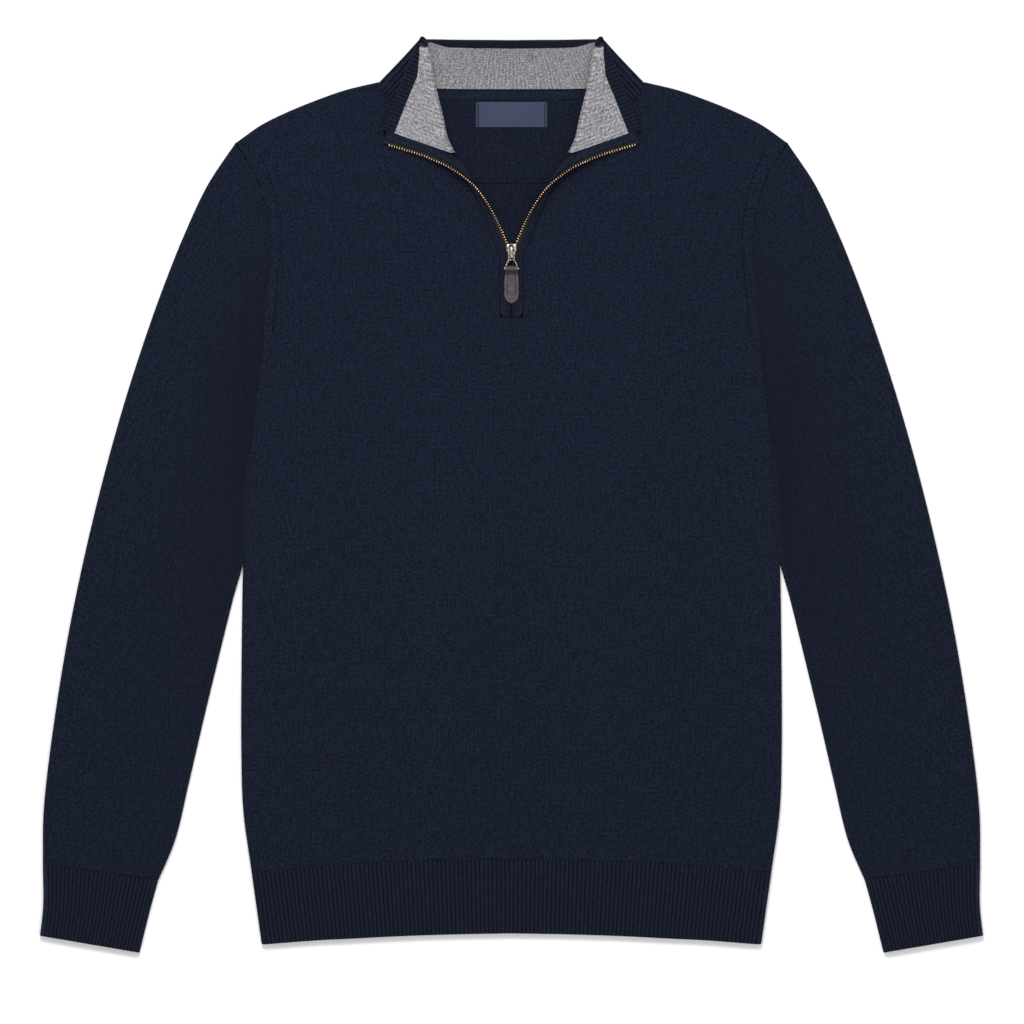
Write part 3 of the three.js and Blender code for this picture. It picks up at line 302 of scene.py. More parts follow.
def stitches(look, across, along):
    """Height of rows of V stitches, 0 between the yarns and 1 on them"""
    column = look.math("FRACT", look.math("DIVIDE", across, WALE))
    from_middle = look.math("ABSOLUTE", look.math("SUBTRACT", column, 0.5))
    leg = look.math("SUBTRACT", 1, look.math("MULTIPLY", 4, look.math(
        "ABSOLUTE", look.math("SUBTRACT", from_middle, 0.25))))
    rows = look.math("DIVIDE", along, COURSE)
    lean = look.math("SUBTRACT", rows, look.math("MULTIPLY", from_middle, STITCH_LEAN))
    row = look.math("FRACT", lean)
    yarn = look.math("SUBTRACT", 1, look.math("MULTIPLY", 2, look.math(
        "ABSOLUTE", look.math("SUBTRACT", row, 0.5))))
    round_leg = look.math("POWER", look.math("MAXIMUM", leg, 0.001), 0.6)
    round_yarn = look.math("POWER", look.math("MAXIMUM", yarn, 0.001), 0.5)
    return look.math("MULTIPLY", round_leg, round_yarn)


def rib_height(look, across):
    """Height of a rib from 0 in the furrow to 1, with a rib at each whole pitch"""
    place = look.math("FRACT", look.math("ADD", look.math("DIVIDE", across, RIB_PITCH), 0.5))
    from_rib = look.math("ABSOLUTE", look.math("SUBTRACT", look.math("MULTIPLY", place, 2), 1))
    return look.math("SUBTRACT", 1, look.math("POWER", from_rib, 2.2))


def weighted(look, *terms):
    """The sum of (value, weight) pairs"""
    total = 0
    for value, weight in terms:
        total = look.math("ADD", total, look.math("MULTIPLY", value, weight))
    return total


def knit(name, dark, middle, light, depth=0.35, rib=0, speckle=0):
    """A fine knit: stitches, streaks along wales and courses, soft mottling, ribs and flecks, with
    painted shade between the yarns and in the rib furrows
    """
    look = Look(name, roughness=0.95, sheen=0.02, specular=0.04)
    place, across, along = look.cloth_place()
    height = stitches(look, across, along)
    # The stitch height darkens the colour between the yarns: painted shade, on top of the bump.
    terms = [
        (height, 0.3), (look.noise(place, 0.5, (1, 0.16, 1)), 0.2),
        (look.noise(place, 0.5, (0.14, 1, 1)), 0.08), (look.noise(place, 0.6, (1, 0.8, 1)), 0.5),
    ]
    # The rib term darkens the colour in the rib furrows: painted shade.
    if rib:
        terms.append((rib_height(look, across), rib))
    if speckle:
        terms.append((look.noise(place, 0.75, detail=3), speckle))
    value = weighted(look, *terms)
    base = 0.7 * rib + 0.5 * speckle
    spread = 0.12 + 0.3 * rib + 0.08 * speckle
    stops = [(0.516 + base - spread, dark), (0.516 + base, middle), (0.516 + base + spread, light)]
    look.colour(look.shade(stops, value))
    fuzz = look.noise(place, 2.2, detail=3)
    look.bump(weighted(look, (height, 1), (fuzz, 0.5)), depth)
    return look.material


NAVY = knit("navy_knit", linear(12, 16, 27), linear(21, 26, 41), linear(34, 40, 58))
# A darker copy of the navy knit for the back and the patch inside the neck: painted shade under the
# collar.
NAVY_INSIDE_SHADED = knit("navy_inside_painted_shade", linear(12, 15, 25), linear(20, 25, 38), linear(30, 36, 52))
NAVY_RIB = knit("navy_rib", linear(10, 13, 22), linear(21, 26, 39), linear(33, 39, 55), rib=0.3)
NAVY_TRIM = knit("navy_trim", linear(13, 17, 28), linear(23, 28, 43), linear(35, 41, 58), depth=0.3)
GREY = knit("grey_marl", linear(78, 77, 81), linear(136, 135, 139), linear(196, 195, 199),
            rib=0.06, speckle=0.3)


# Meshes

def shell(name, outer, inner, coords, material, keep=None, closed=False, bulge=0.4, body=BODY):
    """A closed wall between two grids of points, its open edges rounded over.
    coords has the knit coordinates of each column and row, with one more column on a tube."""
    columns, rows = outer.shape[:2]
    count = columns * rows
    index = np.arange(count).reshape(columns, rows)
    coord_index = np.arange(coords.shape[0] * rows).reshape(-1, rows)
    if closed:
        index = np.vstack([index, index[:1]])
    coord_index = coord_index[: index.shape[0]]

    def corners(grid):
        cells = (grid[:-1, :-1], grid[1:, :-1], grid[1:, 1:], grid[:-1, 1:])
        return np.stack(cells, axis=-1).reshape(-1, 4)

    quads, quad_coords = corners(index), corners(coord_index)
    if keep is not None:
        kept = keep.reshape(-1)
        quads, quad_coords = quads[kept], quad_coords[kept]
    points = outer.reshape(-1, 3)
    inside = inner.reshape(-1, 3)
    flat = coords.reshape(-1, 2)

    starts = quads.reshape(-1)
    ends = np.roll(quads, -1, axis=1).reshape(-1)
    start_coords = quad_coords.reshape(-1)
    end_coords = np.roll(quad_coords, -1, axis=1).reshape(-1)
    key = np.minimum(starts, ends) * count + np.maximum(starts, ends)
    _, where, uses = np.unique(key, return_index=True, return_counts=True)
    border = where[uses == 1]
    away = np.zeros_like(points)
    away_coords = np.zeros_like(flat)
    middles = points[quads].mean(axis=1)
    middle_coords = flat[quad_coords].mean(axis=1)
    for corner in range(4):
        np.add.at(away, quads[:, corner], points[quads[:, corner]] - middles)
        np.add.at(away_coords, quad_coords[:, corner], flat[quad_coords[:, corner]] - middle_coords)
    ring = np.unique(np.concatenate([starts[border], ends[border]]))
    through_wall = unit(points[ring] - inside[ring])
    out = away[ring] - (away[ring] * through_wall).sum(axis=1, keepdims=True) * through_wall
    edge_points = (points[ring] + inside[ring]) / 2 + unit(out) * bulge
    ring_index = np.full(count, -1)
    ring_index[ring] = 2 * count + np.arange(len(ring))

    a, b = starts[border], ends[border]
    ca, cb = start_coords[border], end_coords[border]
    rim = np.stack([b, a, ring_index[a], ring_index[b]], axis=1)
    rim_inside = np.stack([ring_index[b], ring_index[a], a + count, b + count], axis=1)
    step = unit(away_coords) * WALL / 2
    all_coords = np.concatenate([flat, flat + step, flat + 2 * step])
    size = len(flat)
    rim_coords = np.stack([cb, ca, ca + size, cb + size], axis=1)
    rim_inside_coords = np.stack([cb + size, ca + size, ca + 2 * size, cb + 2 * size], axis=1)

    vertices = np.concatenate([points, inside, edge_points])
    faces = np.concatenate([quads, quads[:, ::-1] + count, rim, rim_inside])
    face_coords = np.concatenate([quad_coords, quad_coords[:, ::-1], rim_coords, rim_inside_coords])
    return piece(name, vertices, faces, material, all_coords[face_coords], body=body)


def signed_volume(vertices, faces):
    a, b, c = vertices[faces[:, 0]], vertices[faces[:, 1]], vertices[faces[:, 2]]
    volume = (a * np.cross(b, c)).sum()
    if faces.shape[1] == 4:
        d = vertices[faces[:, 3]]
        volume += (a * np.cross(c, d)).sum()
    return volume


def piece(name, vertices, faces, material, face_coords=None, body=BODY, sharp=50):
    """A mesh object from points in millimetres, turned so that its faces point out"""
    if signed_volume(vertices, faces) < 0:
        faces = faces[:, ::-1]
        face_coords = None if face_coords is None else face_coords[:, ::-1]
    sides = faces.shape[1]
    used, faces = np.unique(faces, return_inverse=True)
    faces = faces.reshape(-1, sides)
    mesh = bpy.data.meshes.new(name)
    mesh.from_pydata((vertices[used] * MM).tolist(), [], faces.tolist())
    if face_coords is not None:
        layer = mesh.uv_layers.new(name="knit")
        layer.data.foreach_set("uv", face_coords.astype(np.float32).ravel())
    mesh.materials.append(material)
    mesh.shade_smooth()
    mesh.set_sharp_from_angle(angle=math.radians(sharp))
    made = bpy.data.objects.new(name, mesh)
    bpy.context.scene.collection.objects.link(made)
    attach(made, body)
    return made


def dress(made, slot, *nodes):
    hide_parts(*nodes)
    return made


def mirror(points):
    return points * np.array([-1, 1, 1])


# Body

def body_edge(along):
    on_side = along <= UNDERARM_SHARE
    lower = np.clip(along / UNDERARM_SHARE, 0, 1)
    upper = np.clip((along - UNDERARM_SHARE) / (1 - UNDERARM_SHARE), 0, 1)
    pick = on_side[..., None]
    point = np.where(pick, side_seam.along(lower), armhole.along(upper))
    normal = np.where(pick, side_seam.right(lower), armhole.right(upper))
    return point, normal


def shoulder_normal(share):
    return shoulder.right(1 - np.asarray(share, float))


def body_outer(along):
    point, normal = body_edge(along)
    corner = FOLD_RADIUS * smooth(along, 0.93, 1)[..., None]
    return point - normal * FOLD_RADIUS - shoulder_normal(1.0) * corner


def zip_frame(share):
    """Teeth line, direction across toward the opening, outer direction, and start of the band"""
    share = np.asarray(share, float)
    place = share * (len(ZIP_LINE) - 1)
    rows = np.array(ZIP_LINE, float)
    at_row = np.arange(len(rows))
    base, tilt, band = (np.interp(place, at_row, rows[:, k]) for k in (2, 3, 4))
    tilt = np.radians(tilt)
    tangent = zip_line.tangent(share)
    flat = np.zeros(share.shape + (1,))
    inward = np.concatenate([np.stack([-tangent[..., 1], tangent[..., 0]], axis=-1), flat], axis=-1)
    up = np.array([0, 0, 1.0])
    across = inward * np.cos(tilt)[..., None] + up * np.sin(tilt)[..., None]
    outer = -inward * np.sin(tilt)[..., None] + up * np.cos(tilt)[..., None]
    height = (base + SEAM_REACH * np.sin(tilt))[..., None]
    teeth = np.concatenate([zip_line.at(share), height], axis=-1)
    return teeth, across, outer, band


def zip_seam(share):
    teeth, across, outer, _ = zip_frame(share)
    return (teeth - across * SEAM_REACH + outer * PANEL_CLEARANCE)[..., :2]


def front_inner(along):
    low = np.stack([
        np.full_like(along, PLACKET_EDGE),
        lerp(HEM_TOP[0][1], PLACKET_BOTTOM - SEAM_GAP, along / PLACKET_SHARE),
    ], axis=-1)
    share = np.clip((along - PLACKET_SHARE) / (COLLAR_SHARE - PLACKET_SHARE), 0, 1)
    edge = np.maximum(zip_seam(share * COLLAR_ZIP_SHARE), [PLACKET_EDGE, PLACKET_BOTTOM - SEAM_GAP])
    share = np.clip((along - COLLAR_SHARE) / (1 - COLLAR_SHARE), 0, 1)
    start = zip_seam(np.array(COLLAR_ZIP_SHARE))
    neck = toward(front_neck.along(share), start, (1 - share) ** 6)
    placket = (along <= PLACKET_SHARE)[..., None]
    zipped = (along <= COLLAR_SHARE)[..., None]
    return np.where(placket, low, np.where(zipped, edge, neck))


def hem_side(share, inner):
    point = hem_top.along(share)
    point[..., 0] = lerp(inner, HEM_TOP[-1][0] - FOLD_RADIUS, share)
    return point


def shoulder_side(across):
    """The top side of the front: the shoulder line, its ends moved onto the corners"""
    one = np.array(1.0)
    zero = np.array(0.0)
    point = shoulder.along(1 - across) - shoulder_normal(across) * FOLD_RADIUS
    shift = body_outer(one) - (shoulder.along(zero) - shoulder_normal(one) * FOLD_RADIUS)
    nudge = front_inner(one) - (shoulder.along(one) - shoulder_normal(zero) * FOLD_RADIUS)
    return point + shift * (across**4)[..., None] + nudge * ((1 - across) ** 4)[..., None]


def patch(sides, across, along):
    """A patch between four sides, over two arrays of shares of the same shape"""
    zero, one = np.array(0.0), np.array(1.0)
    between = toward(sides["inner"](along), sides["outer"](along), across)
    ends = toward(sides["start"](across), sides["end"](across), along)
    first = toward(sides["inner"](zero), sides["outer"](zero), across)
    last = toward(sides["inner"](one), sides["outer"](one), across)
    return between + ends - toward(first, last, along)


def back_end(across):
    neck_share = np.clip(across / BACK_NECK_SHARE, 0, 1)
    neck = back_neck.along(neck_share) - [0, SEAM_GAP]
    share = np.clip((across - BACK_NECK_SHARE) / (1 - BACK_NECK_SHARE), 0, 1)
    top = toward(shoulder_side(share), back_neck.along(np.array(1.0)), (1 - share) ** 8)
    return np.where((across <= BACK_NECK_SHARE)[..., None], neck, top)


FRONT_SIDES = {
    "inner": front_inner,
    "outer": body_outer,
    "start": lambda across: toward(hem_side(across, PLACKET_EDGE), body_outer(np.array(0.0)), across**8),
    "end": shoulder_side,
}
BACK_SIDES = {
    "inner": lambda along: np.stack(
        [np.zeros_like(along), lerp(HEM_TOP[0][1], BACK_NECK[0][1] - SEAM_GAP, along)], axis=-1),
    "outer": body_outer,
    "start": lambda across: toward(hem_side(across, 0), body_outer(np.array(0.0)), across**8),
    "end": back_end,
}


def trough_depth(x, y):
    depth = np.zeros_like(x)
    for from_x, from_y, to_x, to_y, deep, width in TROUGHS:
        line = np.array([to_x - from_x, to_y - from_y])
        share = ((x - from_x) * line[0] + (y - from_y) * line[1]) / (line @ line)
        share = np.clip(share, 0, 1)
        away = np.hypot(x - from_x - share * line[0], y - from_y - share * line[1])
        depth += deep * np.exp(-((away / width) ** 2))
    return depth


def swell(x, y, spacing, seed):
    """A slow uneven rise and fall over the cloth, from -1 to 1"""
    chance = np.random.default_rng(seed)
    total = np.zeros_like(x)
    for _ in range(6):
        turn = chance.uniform(-0.9, 0.9)
        length = spacing * chance.uniform(0.7, 1.6)
        phase = chance.uniform(0, 2 * np.pi)
        total += np.sin(2 * np.pi * (x * math.cos(turn) + 0.35 * y * math.sin(turn)) / length + phase)
    return total / 6


def gathers(across, distance, reach, spacing, seed):
    """Short ripples beside a rib, fading away from it"""
    wave = swell(across, np.zeros_like(across), spacing, seed)
    return wave * np.exp(-np.clip(distance, 0, None) / reach)


NECK_COLUMNS = 22
MARK_INSET = 9
MARK_SIZE = (1, 4.6, 0.7)
FOLD_ANGLES = np.radians(np.linspace(78, 0, 8))


def body_columns(shares):
    """Shares, leans and lifts of the columns of a body panel's right half"""
    inside = np.column_stack([shares, np.zeros(len(shares)), np.ones(len(shares))])
    return np.vstack([inside, fold_rows()])


def body_grid(sides, face, columns, rows, side, relief, end_shares=None):
    """The outer and inner points of half a body panel. face is 1 for the front, -1 for the back."""
    share, lean, lift = (columns[:, k][:, None] for k in range(3))
    along, row_lean, row_lift = (rows[:, k][None, :] for k in range(3))
    share, along = np.broadcast_arrays(share, along)
    plan = patch(sides, share, along)
    _, edge_normal = body_edge(along)
    end_share = share if end_shares is None else np.broadcast_to(end_shares[:, None], share.shape)
    end_normal = shoulder_normal(end_share)
    flat = smooth(along, 0.6, 0.72)
    middle = FOLD_RADIUS + face * SEAM_GAP / 2
    radius = FOLD_RADIUS - SEAM_GAP / 2
    raised = lerp(lift, 1, flat) * row_lift
    loft = relief(side * plan[..., 0], plan[..., 1], share, along) * (lift * row_lift == 1)

    def place(reach):
        step = lerp(reach, radius, flat) * lean
        flat_place = plan + edge_normal * step[..., None] + end_normal * (reach * row_lean)[..., None]
        height = middle + face * reach * raised + face * loft
        point = np.concatenate([flat_place, height[..., None]], axis=-1)
        return point if side > 0 else mirror(point)

    return place(radius), place(radius - WALL)


def front_relief(x, y, share, along):
    zip_side = lerp(1, np.minimum(1, 5 * share), smooth(along, 0.55, PLACKET_SHARE))
    edges = np.minimum(1, 3 * (1 - share)) * np.minimum(1, np.minimum(8 * along, 10 * (1 - along)))
    rise = edges * zip_side
    soft = CHEST_LOFT + 0.3 * swell(x, y, 70, 4) - 2 * trough_depth(x, y)
    ripple = 0.7 * gathers(x, y - hem_top.points[1][1], 11, 15, 7)
    return np.maximum(0, rise * soft) + np.maximum(-0.3, ripple) * smooth(1 - share, 0, 0.06)


def no_relief(x, *_):
    return np.zeros_like(x)


def straight_rows(shares):
    return np.column_stack([shares, np.zeros(len(shares)), np.ones(len(shares))])


def fold_rows():
    """The last share with the leans and lifts of a rounded fold"""
    return np.column_stack([np.ones(len(FOLD_ANGLES)), np.cos(FOLD_ANGLES), np.sin(FOLD_ANGLES)])


def front_panel():
    shares = np.linspace(0, 1, 68)
    columns = body_columns(shares)
    below = np.linspace(0, PLACKET_SHARE, 118)
    beside = np.linspace(PLACKET_SHARE, COLLAR_SHARE, 62)[1:]
    above = np.linspace(COLLAR_SHARE, 1, 34)[1:]
    rows = np.vstack([straight_rows(np.concatenate([below, beside, above])), fold_rows()])
    right = body_grid(FRONT_SIDES, 1, columns, rows, 1, front_relief)
    left = body_grid(FRONT_SIDES, 1, columns, rows, -1, front_relief)
    grids = []
    for right_side, left_side in zip(right, left):
        mix = np.linspace(0, 1, 8)[1:-1][:, None, None]
        middle = left_side[:1] + (right_side[:1] - left_side[:1]) * mix
        grids.append(np.concatenate([left_side[::-1], middle, right_side]))
    outer, inner = grids
    keep = np.ones((outer.shape[0] - 1, outer.shape[1] - 1), bool)
    half = len(columns)
    keep[half - 1: half + 6, len(below) - 1:] = False
    made = shell("front_panel_knit", outer, inner, outer[..., :2], NAVY, keep=keep)
    return dress(made, "knit_navy", "front_panel")


def back_panel():
    below_neck = np.linspace(0, BACK_NECK_SHARE, NECK_COLUMNS)
    shares = np.concatenate([below_neck, np.linspace(BACK_NECK_SHARE, 1, NECK_COLUMNS)[1:]])
    columns = body_columns(shares)
    end_shares = np.clip((columns[:, 0] - BACK_NECK_SHARE) / (1 - BACK_NECK_SHARE), 0, 1)
    rows = np.vstack([straight_rows(np.linspace(0, 1, 90)), fold_rows()])
    halves = [
        body_grid(BACK_SIDES, -1, columns, rows, side, no_relief, end_shares) for side in (1, -1)
    ]
    outer, inner = (np.concatenate([left[:0:-1], right]) for right, left in zip(*halves))
    keep = np.ones((outer.shape[0] - 1, outer.shape[1] - 1), bool)
    middle = len(columns) - 1
    reach = NECK_COLUMNS - 1
    keep[middle - reach: middle + reach, -len(FOLD_ANGLES):] = False
    made = shell("back_panel_knit", outer, inner, outer[..., :2], NAVY_INSIDE_SHADED, keep=keep)
    return dress(made, "knit_navy", "back_panel")


def fashion_marks(side, name):
    """A line of small raised stitches beside the armhole"""
    along = np.linspace(0.67, 0.955, 26)
    width = np.linalg.norm(body_outer(along) - front_inner(along), axis=-1)
    share = 1 - MARK_INSET / width
    plan = patch(FRONT_SIDES, share, along)
    height = 2 * FOLD_RADIUS + front_relief(side * plan[:, 0], plan[:, 1], share, along)
    _, across = body_edge(along)
    frames = []
    for (x, y), z, (out_x, out_y) in zip(plan, height, across):
        directions = np.array([[out_x, out_y, 0], [-out_y, out_x, 0], [0, 0, 1]])
        at = np.array([x, y, z])
        frames.append((at, directions) if side > 0 else (mirror(at), mirror(directions)))
    repeated(f"fashion_marks_{name}", rounded_block(MARK_SIZE), frames, NAVY_TRIM)


# Sleeves and cuffs

FOLD_SHARE = FOLD_RADIUS / armhole.length


def armhole_offset(share):
    return armhole.along(share) + armhole.right(share) * ARMHOLE_GAP


sleeve_inner = Curve([tuple(armhole_offset(np.array(0.0)))] + SLEEVE_INNER)
sleeve_outer = Curve([tuple(armhole_offset(np.array(1.0)))] + SLEEVE_OUTER)


def sleeve_inner_normal(along):
    seam = -armhole.tangent_along(np.array(0.0))
    return unit(toward(seam, sleeve_inner.right(along), smooth(along, 0, 0.12)))


def sleeve_outer_normal(along):
    seam = armhole.tangent_along(np.array(1.0))
    return unit(toward(seam, -sleeve_outer.right(along), smooth(along, 0, 0.06)))


def sleeve_inner_side(along):
    return sleeve_inner.along(along) - sleeve_inner_normal(along) * FOLD_RADIUS


def sleeve_outer_side(along):
    return sleeve_outer.along(along) - sleeve_outer_normal(along) * FOLD_RADIUS


def between_ends(inner, outer, along):
    return lambda across: toward(inner(np.array(along)), outer(np.array(along)), across)


SLEEVE_SIDES = {
    "inner": sleeve_inner_side,
    "outer": sleeve_outer_side,
    "start": lambda across: armhole_offset(lerp(FOLD_SHARE, 1 - FOLD_SHARE, across)),
    "end": between_ends(sleeve_inner_side, sleeve_outer_side, 1.0),
}
SLEEVE_NORMALS = (sleeve_inner_normal, sleeve_outer_normal)


def cuff_inner_normal(along):
    return cuff_inner.right(along)


def cuff_outer_normal(along):
    return -cuff_outer.right(along)


def cuff_inner_side(along):
    return cuff_inner.along(along) - cuff_inner_normal(along) * FOLD_RADIUS


def cuff_outer_side(along):
    return cuff_outer.along(along) - cuff_outer_normal(along) * FOLD_RADIUS


CUFF_SIDES = {
    "inner": cuff_inner_side,
    "outer": cuff_outer_side,
    "start": between_ends(cuff_inner_side, cuff_outer_side, 0.0),
    "end": between_ends(cuff_inner_side, cuff_outer_side, 1.0),
}
CUFF_NORMALS = (cuff_inner_normal, cuff_outer_normal)


def tube_columns(top, bottom):
    """Share, lean, lift and whether it lies on top, for columns round a flattened tube"""
    rows = []
    turns = np.radians(np.linspace(0, 78, 7))
    rows += [(1, math.cos(a), math.sin(a), 0) for a in turns]
    rows += [(share, 0, 1, 1) for share in top]
    rows += [(0, -math.cos(a), math.sin(a), 0) for a in turns[::-1]]
    rows += [(0, -math.cos(a), -math.sin(a), 0) for a in turns[1:]]
    rows += [(share, 0, -1, -1) for share in bottom]
    rows += [(1, math.cos(a), -math.sin(a), 0) for a in turns[:0:-1]]
    return np.array(rows)


def tube_grid(sides, normals, columns, along, loft, side):
    """The outer and inner points of a flattened tube. loft takes share, along, plan and top."""
    share, lean, lift, top = (columns[:, k][:, None] for k in range(4))
    share, rows = np.broadcast_arrays(share, along[None, :])
    plan = patch(sides, share, rows)
    outward = np.where((lean > 0)[..., None], normals[1](rows), normals[0](rows))
    raise_outer, raise_inner = loft(share, rows, plan, np.broadcast_to(top, share.shape))

    def place(reach, extra):
        flat_place = plan + outward * (np.abs(lean) * reach)[..., None]
        height = np.broadcast_to(FOLD_RADIUS + reach * lift, share.shape) + extra
        point = np.concatenate([flat_place, height[..., None]], axis=-1)
        return point if side > 0 else mirror(point)

    return place(FOLD_RADIUS, raise_outer), place(FOLD_RADIUS - WALL, raise_inner), plan


def tube_coords(outer, length):
    """Knit coordinates of a tube: the way round from its first column, and down its length"""
    ring = np.concatenate([outer, outer[:1]])
    steps = np.linalg.norm(np.diff(ring, axis=0), axis=2)
    around = np.concatenate([np.zeros((1, outer.shape[1])), np.cumsum(steps, axis=0)])
    down = np.broadcast_to(length[None, :], around.shape)
    return np.stack([around - around[-1:] / 4, -down], axis=-1)


# Soft troughs of a sleeve: from share and along to share and along, then depth and width in mm
SLEEVE_TROUGHS = [
    (0.15, 0.22, 0.42, 0.42, 0.7, 14), (0.1, 0.36, 0.5, 0.52, 0.8, 13),
    (0.2, 0.5, 0.72, 0.62, 0.7, 15), (0.62, 0.18, 0.74, 0.5, 0.6, 16),
    (0.35, 0.66, 0.55, 0.86, 0.6, 12), (0.7, 0.72, 0.62, 0.92, 0.6, 12),
]


def sleeve(side, name):
    top = np.linspace(1, 0, 46)
    bottom = np.linspace(0, 1, 20)
    columns = tube_columns(top, bottom)
    along = np.linspace(0, 1, 170)
    length = (sleeve_inner.length + sleeve_outer.length) / 2

    def loft(share, rows, plan, on_top):
        crown = np.clip(np.minimum(4 * share, np.minimum(4 * (1 - share), 6 * (1 - rows))), 0, 1)
        deep = np.zeros_like(share)
        width = np.linalg.norm(sleeve_outer_side(rows) - sleeve_inner_side(rows), axis=-1)
        for from_share, from_along, to_share, to_along, depth, wide in SLEEVE_TROUGHS:
            mix = np.clip((rows - from_along) / (to_along - from_along), 0, 1)
            centre = lerp(from_share, to_share, mix)
            past = np.abs(rows - lerp(from_along, to_along, mix)) * length
            away = np.hypot((share - centre) * width, past)
            deep += depth * (0.75 if side > 0 else 1) * np.exp(-((away / wide) ** 2))
        soft = SLEEVE_LOFT + 0.2 * swell(plan[..., 0], plan[..., 1], 60, 11 + side) - 1.8 * deep
        ripple = 0.6 * gathers(share * width, (1 - rows) * length, 9, 12, 20 + side)
        rise = np.maximum(0, crown * soft) * smooth(rows, 0, 0.15) + ripple * crown_edge(share)
        rise = rise * (on_top > 0)
        return rise, rise

    outer, inner, _ = tube_grid(SLEEVE_SIDES, SLEEVE_NORMALS, columns, along, loft, side)
    coords = tube_coords(outer, along * length)
    made = shell(f"sleeve_{name}_knit", outer, inner, coords, NAVY, closed=True)
    return dress(made, "knit_navy", f"sleeve_{name}")


def crown_edge(share):
    return smooth(share, 0, 0.08) * smooth(1 - share, 0, 0.08)


def rib_profile(place):
    """Height of a rib from 0 in the furrow to 1, with a rib at each whole number"""
    return 1 - np.abs(2 * ((place + 0.5) % 1) - 1) ** 2.6


def cuff(side, name):
    top = np.linspace(1, 0, CUFF_RIBS * STEPS_PER_RIB + 1)
    bottom = np.linspace(0, 1, CUFF_RIBS * 2 + 1)
    columns = tube_columns(top, bottom)
    along = np.linspace(0, 1, 26)

    def loft(share, rows, plan, on_top):
        ribs = RIB_HEIGHT * (rib_profile(share * CUFF_RIBS) - 0.7)
        wave = 0.25 * swell(share * 83, rows * 60, 34, 31 + side) * np.sin(np.pi * rows)
        return (ribs + wave) * (on_top > 0) * crown_edge(share), wave * (on_top > 0) * crown_edge(share)

    outer, inner, _ = tube_grid(CUFF_SIDES, CUFF_NORMALS, columns, along, loft, side)
    length = (cuff_inner.length + cuff_outer.length) / 2
    around = np.append(columns[:, 0], columns[0, 0]) * CUFF_RIBS * RIB_PITCH
    down = -along * length
    coords = np.stack(np.meshgrid(around, down, indexing="ij"), axis=-1)
    made = shell(f"cuff_{name}_rib", outer, inner, coords, NAVY_RIB, closed=True)
    return dress(made, "rib_navy", f"cuff_{name}")


# Hem

def hem(face, name):
    count = HEM_RIBS * STEPS_PER_RIB if face > 0 else HEM_RIBS
    shares = np.linspace(0, 1, count + 1)
    turns = FOLD_ANGLES
    left = np.column_stack([np.zeros(8), -np.cos(turns), np.sin(turns)])[::-1]
    right = np.column_stack([np.ones(8), np.cos(turns), np.sin(turns)])
    inside = np.column_stack([shares, np.zeros(len(shares)), np.ones(len(shares))])
    columns = np.vstack([left, inside, right])
    share, lean, lift = (columns[:, k][:, None] for k in range(3))
    along = np.linspace(0, 1, 22)[None, :]
    share, along = np.broadcast_arrays(share, along)
    offset = np.abs(2 * share - 1)
    top = hem_top.along(offset) - [0, SEAM_GAP]
    plan = toward(top, hem_bottom.along(offset), along)
    plan = plan - np.stack([FOLD_RADIUS * offset, np.zeros_like(offset)], axis=-1)
    plan = plan * np.stack([np.sign(share - 0.5 + 1e-9), np.ones_like(share)], axis=-1)
    middle = FOLD_RADIUS + face * SEAM_GAP / 2
    radius = FOLD_RADIUS - SEAM_GAP / 2
    ribs = RIB_HEIGHT * (rib_profile(share * HEM_RIBS) - 0.7) * (lift == 1) * (face > 0)
    wave = 0.35 * swell(plan[..., 0], plan[..., 1], 55, 41) * np.sin(np.pi * along)
    wave = wave * (lift == 1) * (face > 0)

    def place(reach, extra):
        x = plan[..., 0] + lean * reach
        z = middle + face * (reach * lift + extra)
        return np.stack([x, plan[..., 1], z], axis=-1)

    outer, inner = place(radius, ribs + wave), place(radius - WALL, wave)
    coords = np.stack([share * HEM_RIBS * RIB_PITCH, outer[..., 1]], axis=-1)
    made = shell(f"hem_{name}_rib", outer, inner, coords, NAVY_RIB)
    return dress(made, "rib_navy", f"hem_{name}")


for side, name in ((1, "right"), (-1, "left")):
    sleeve(side, name)
    cuff(side, name)
hem(1, "front")
hem(-1, "back")


# Collar

SIDE_ROWS = [0, 0.44, 0.87, 0.9, 0.93, 0.96, 1]
BACK_ROWS = [0, 0.07, 0.25, 0.44, 0.62, 0.8, 1]
FRONT_NECK_END = 0.955
SIDE_RISE = 11.5
BACK_SEAM_SIDE = np.array([104.3, 336.2, BACK_SEAM_HEIGHT])
BACK_TOP_SIDE_HEIGHT = 14.6
SIDE_OUTWARD = np.array([0.7, 0.71, 0])
BACK_STEPS = 2 * COLLAR_BACK_RIBS
FOLD_STEPS = 2 * COLLAR_FOLD_RIBS
FRONT_STEPS = 2 * COLLAR_FRONT_RIBS
COLLAR_HALF = BACK_STEPS + FOLD_STEPS + FRONT_STEPS


def with_height(plan, height):
    return np.concatenate([plan, np.broadcast_to(height, plan.shape[:-1])[..., None]], axis=-1)


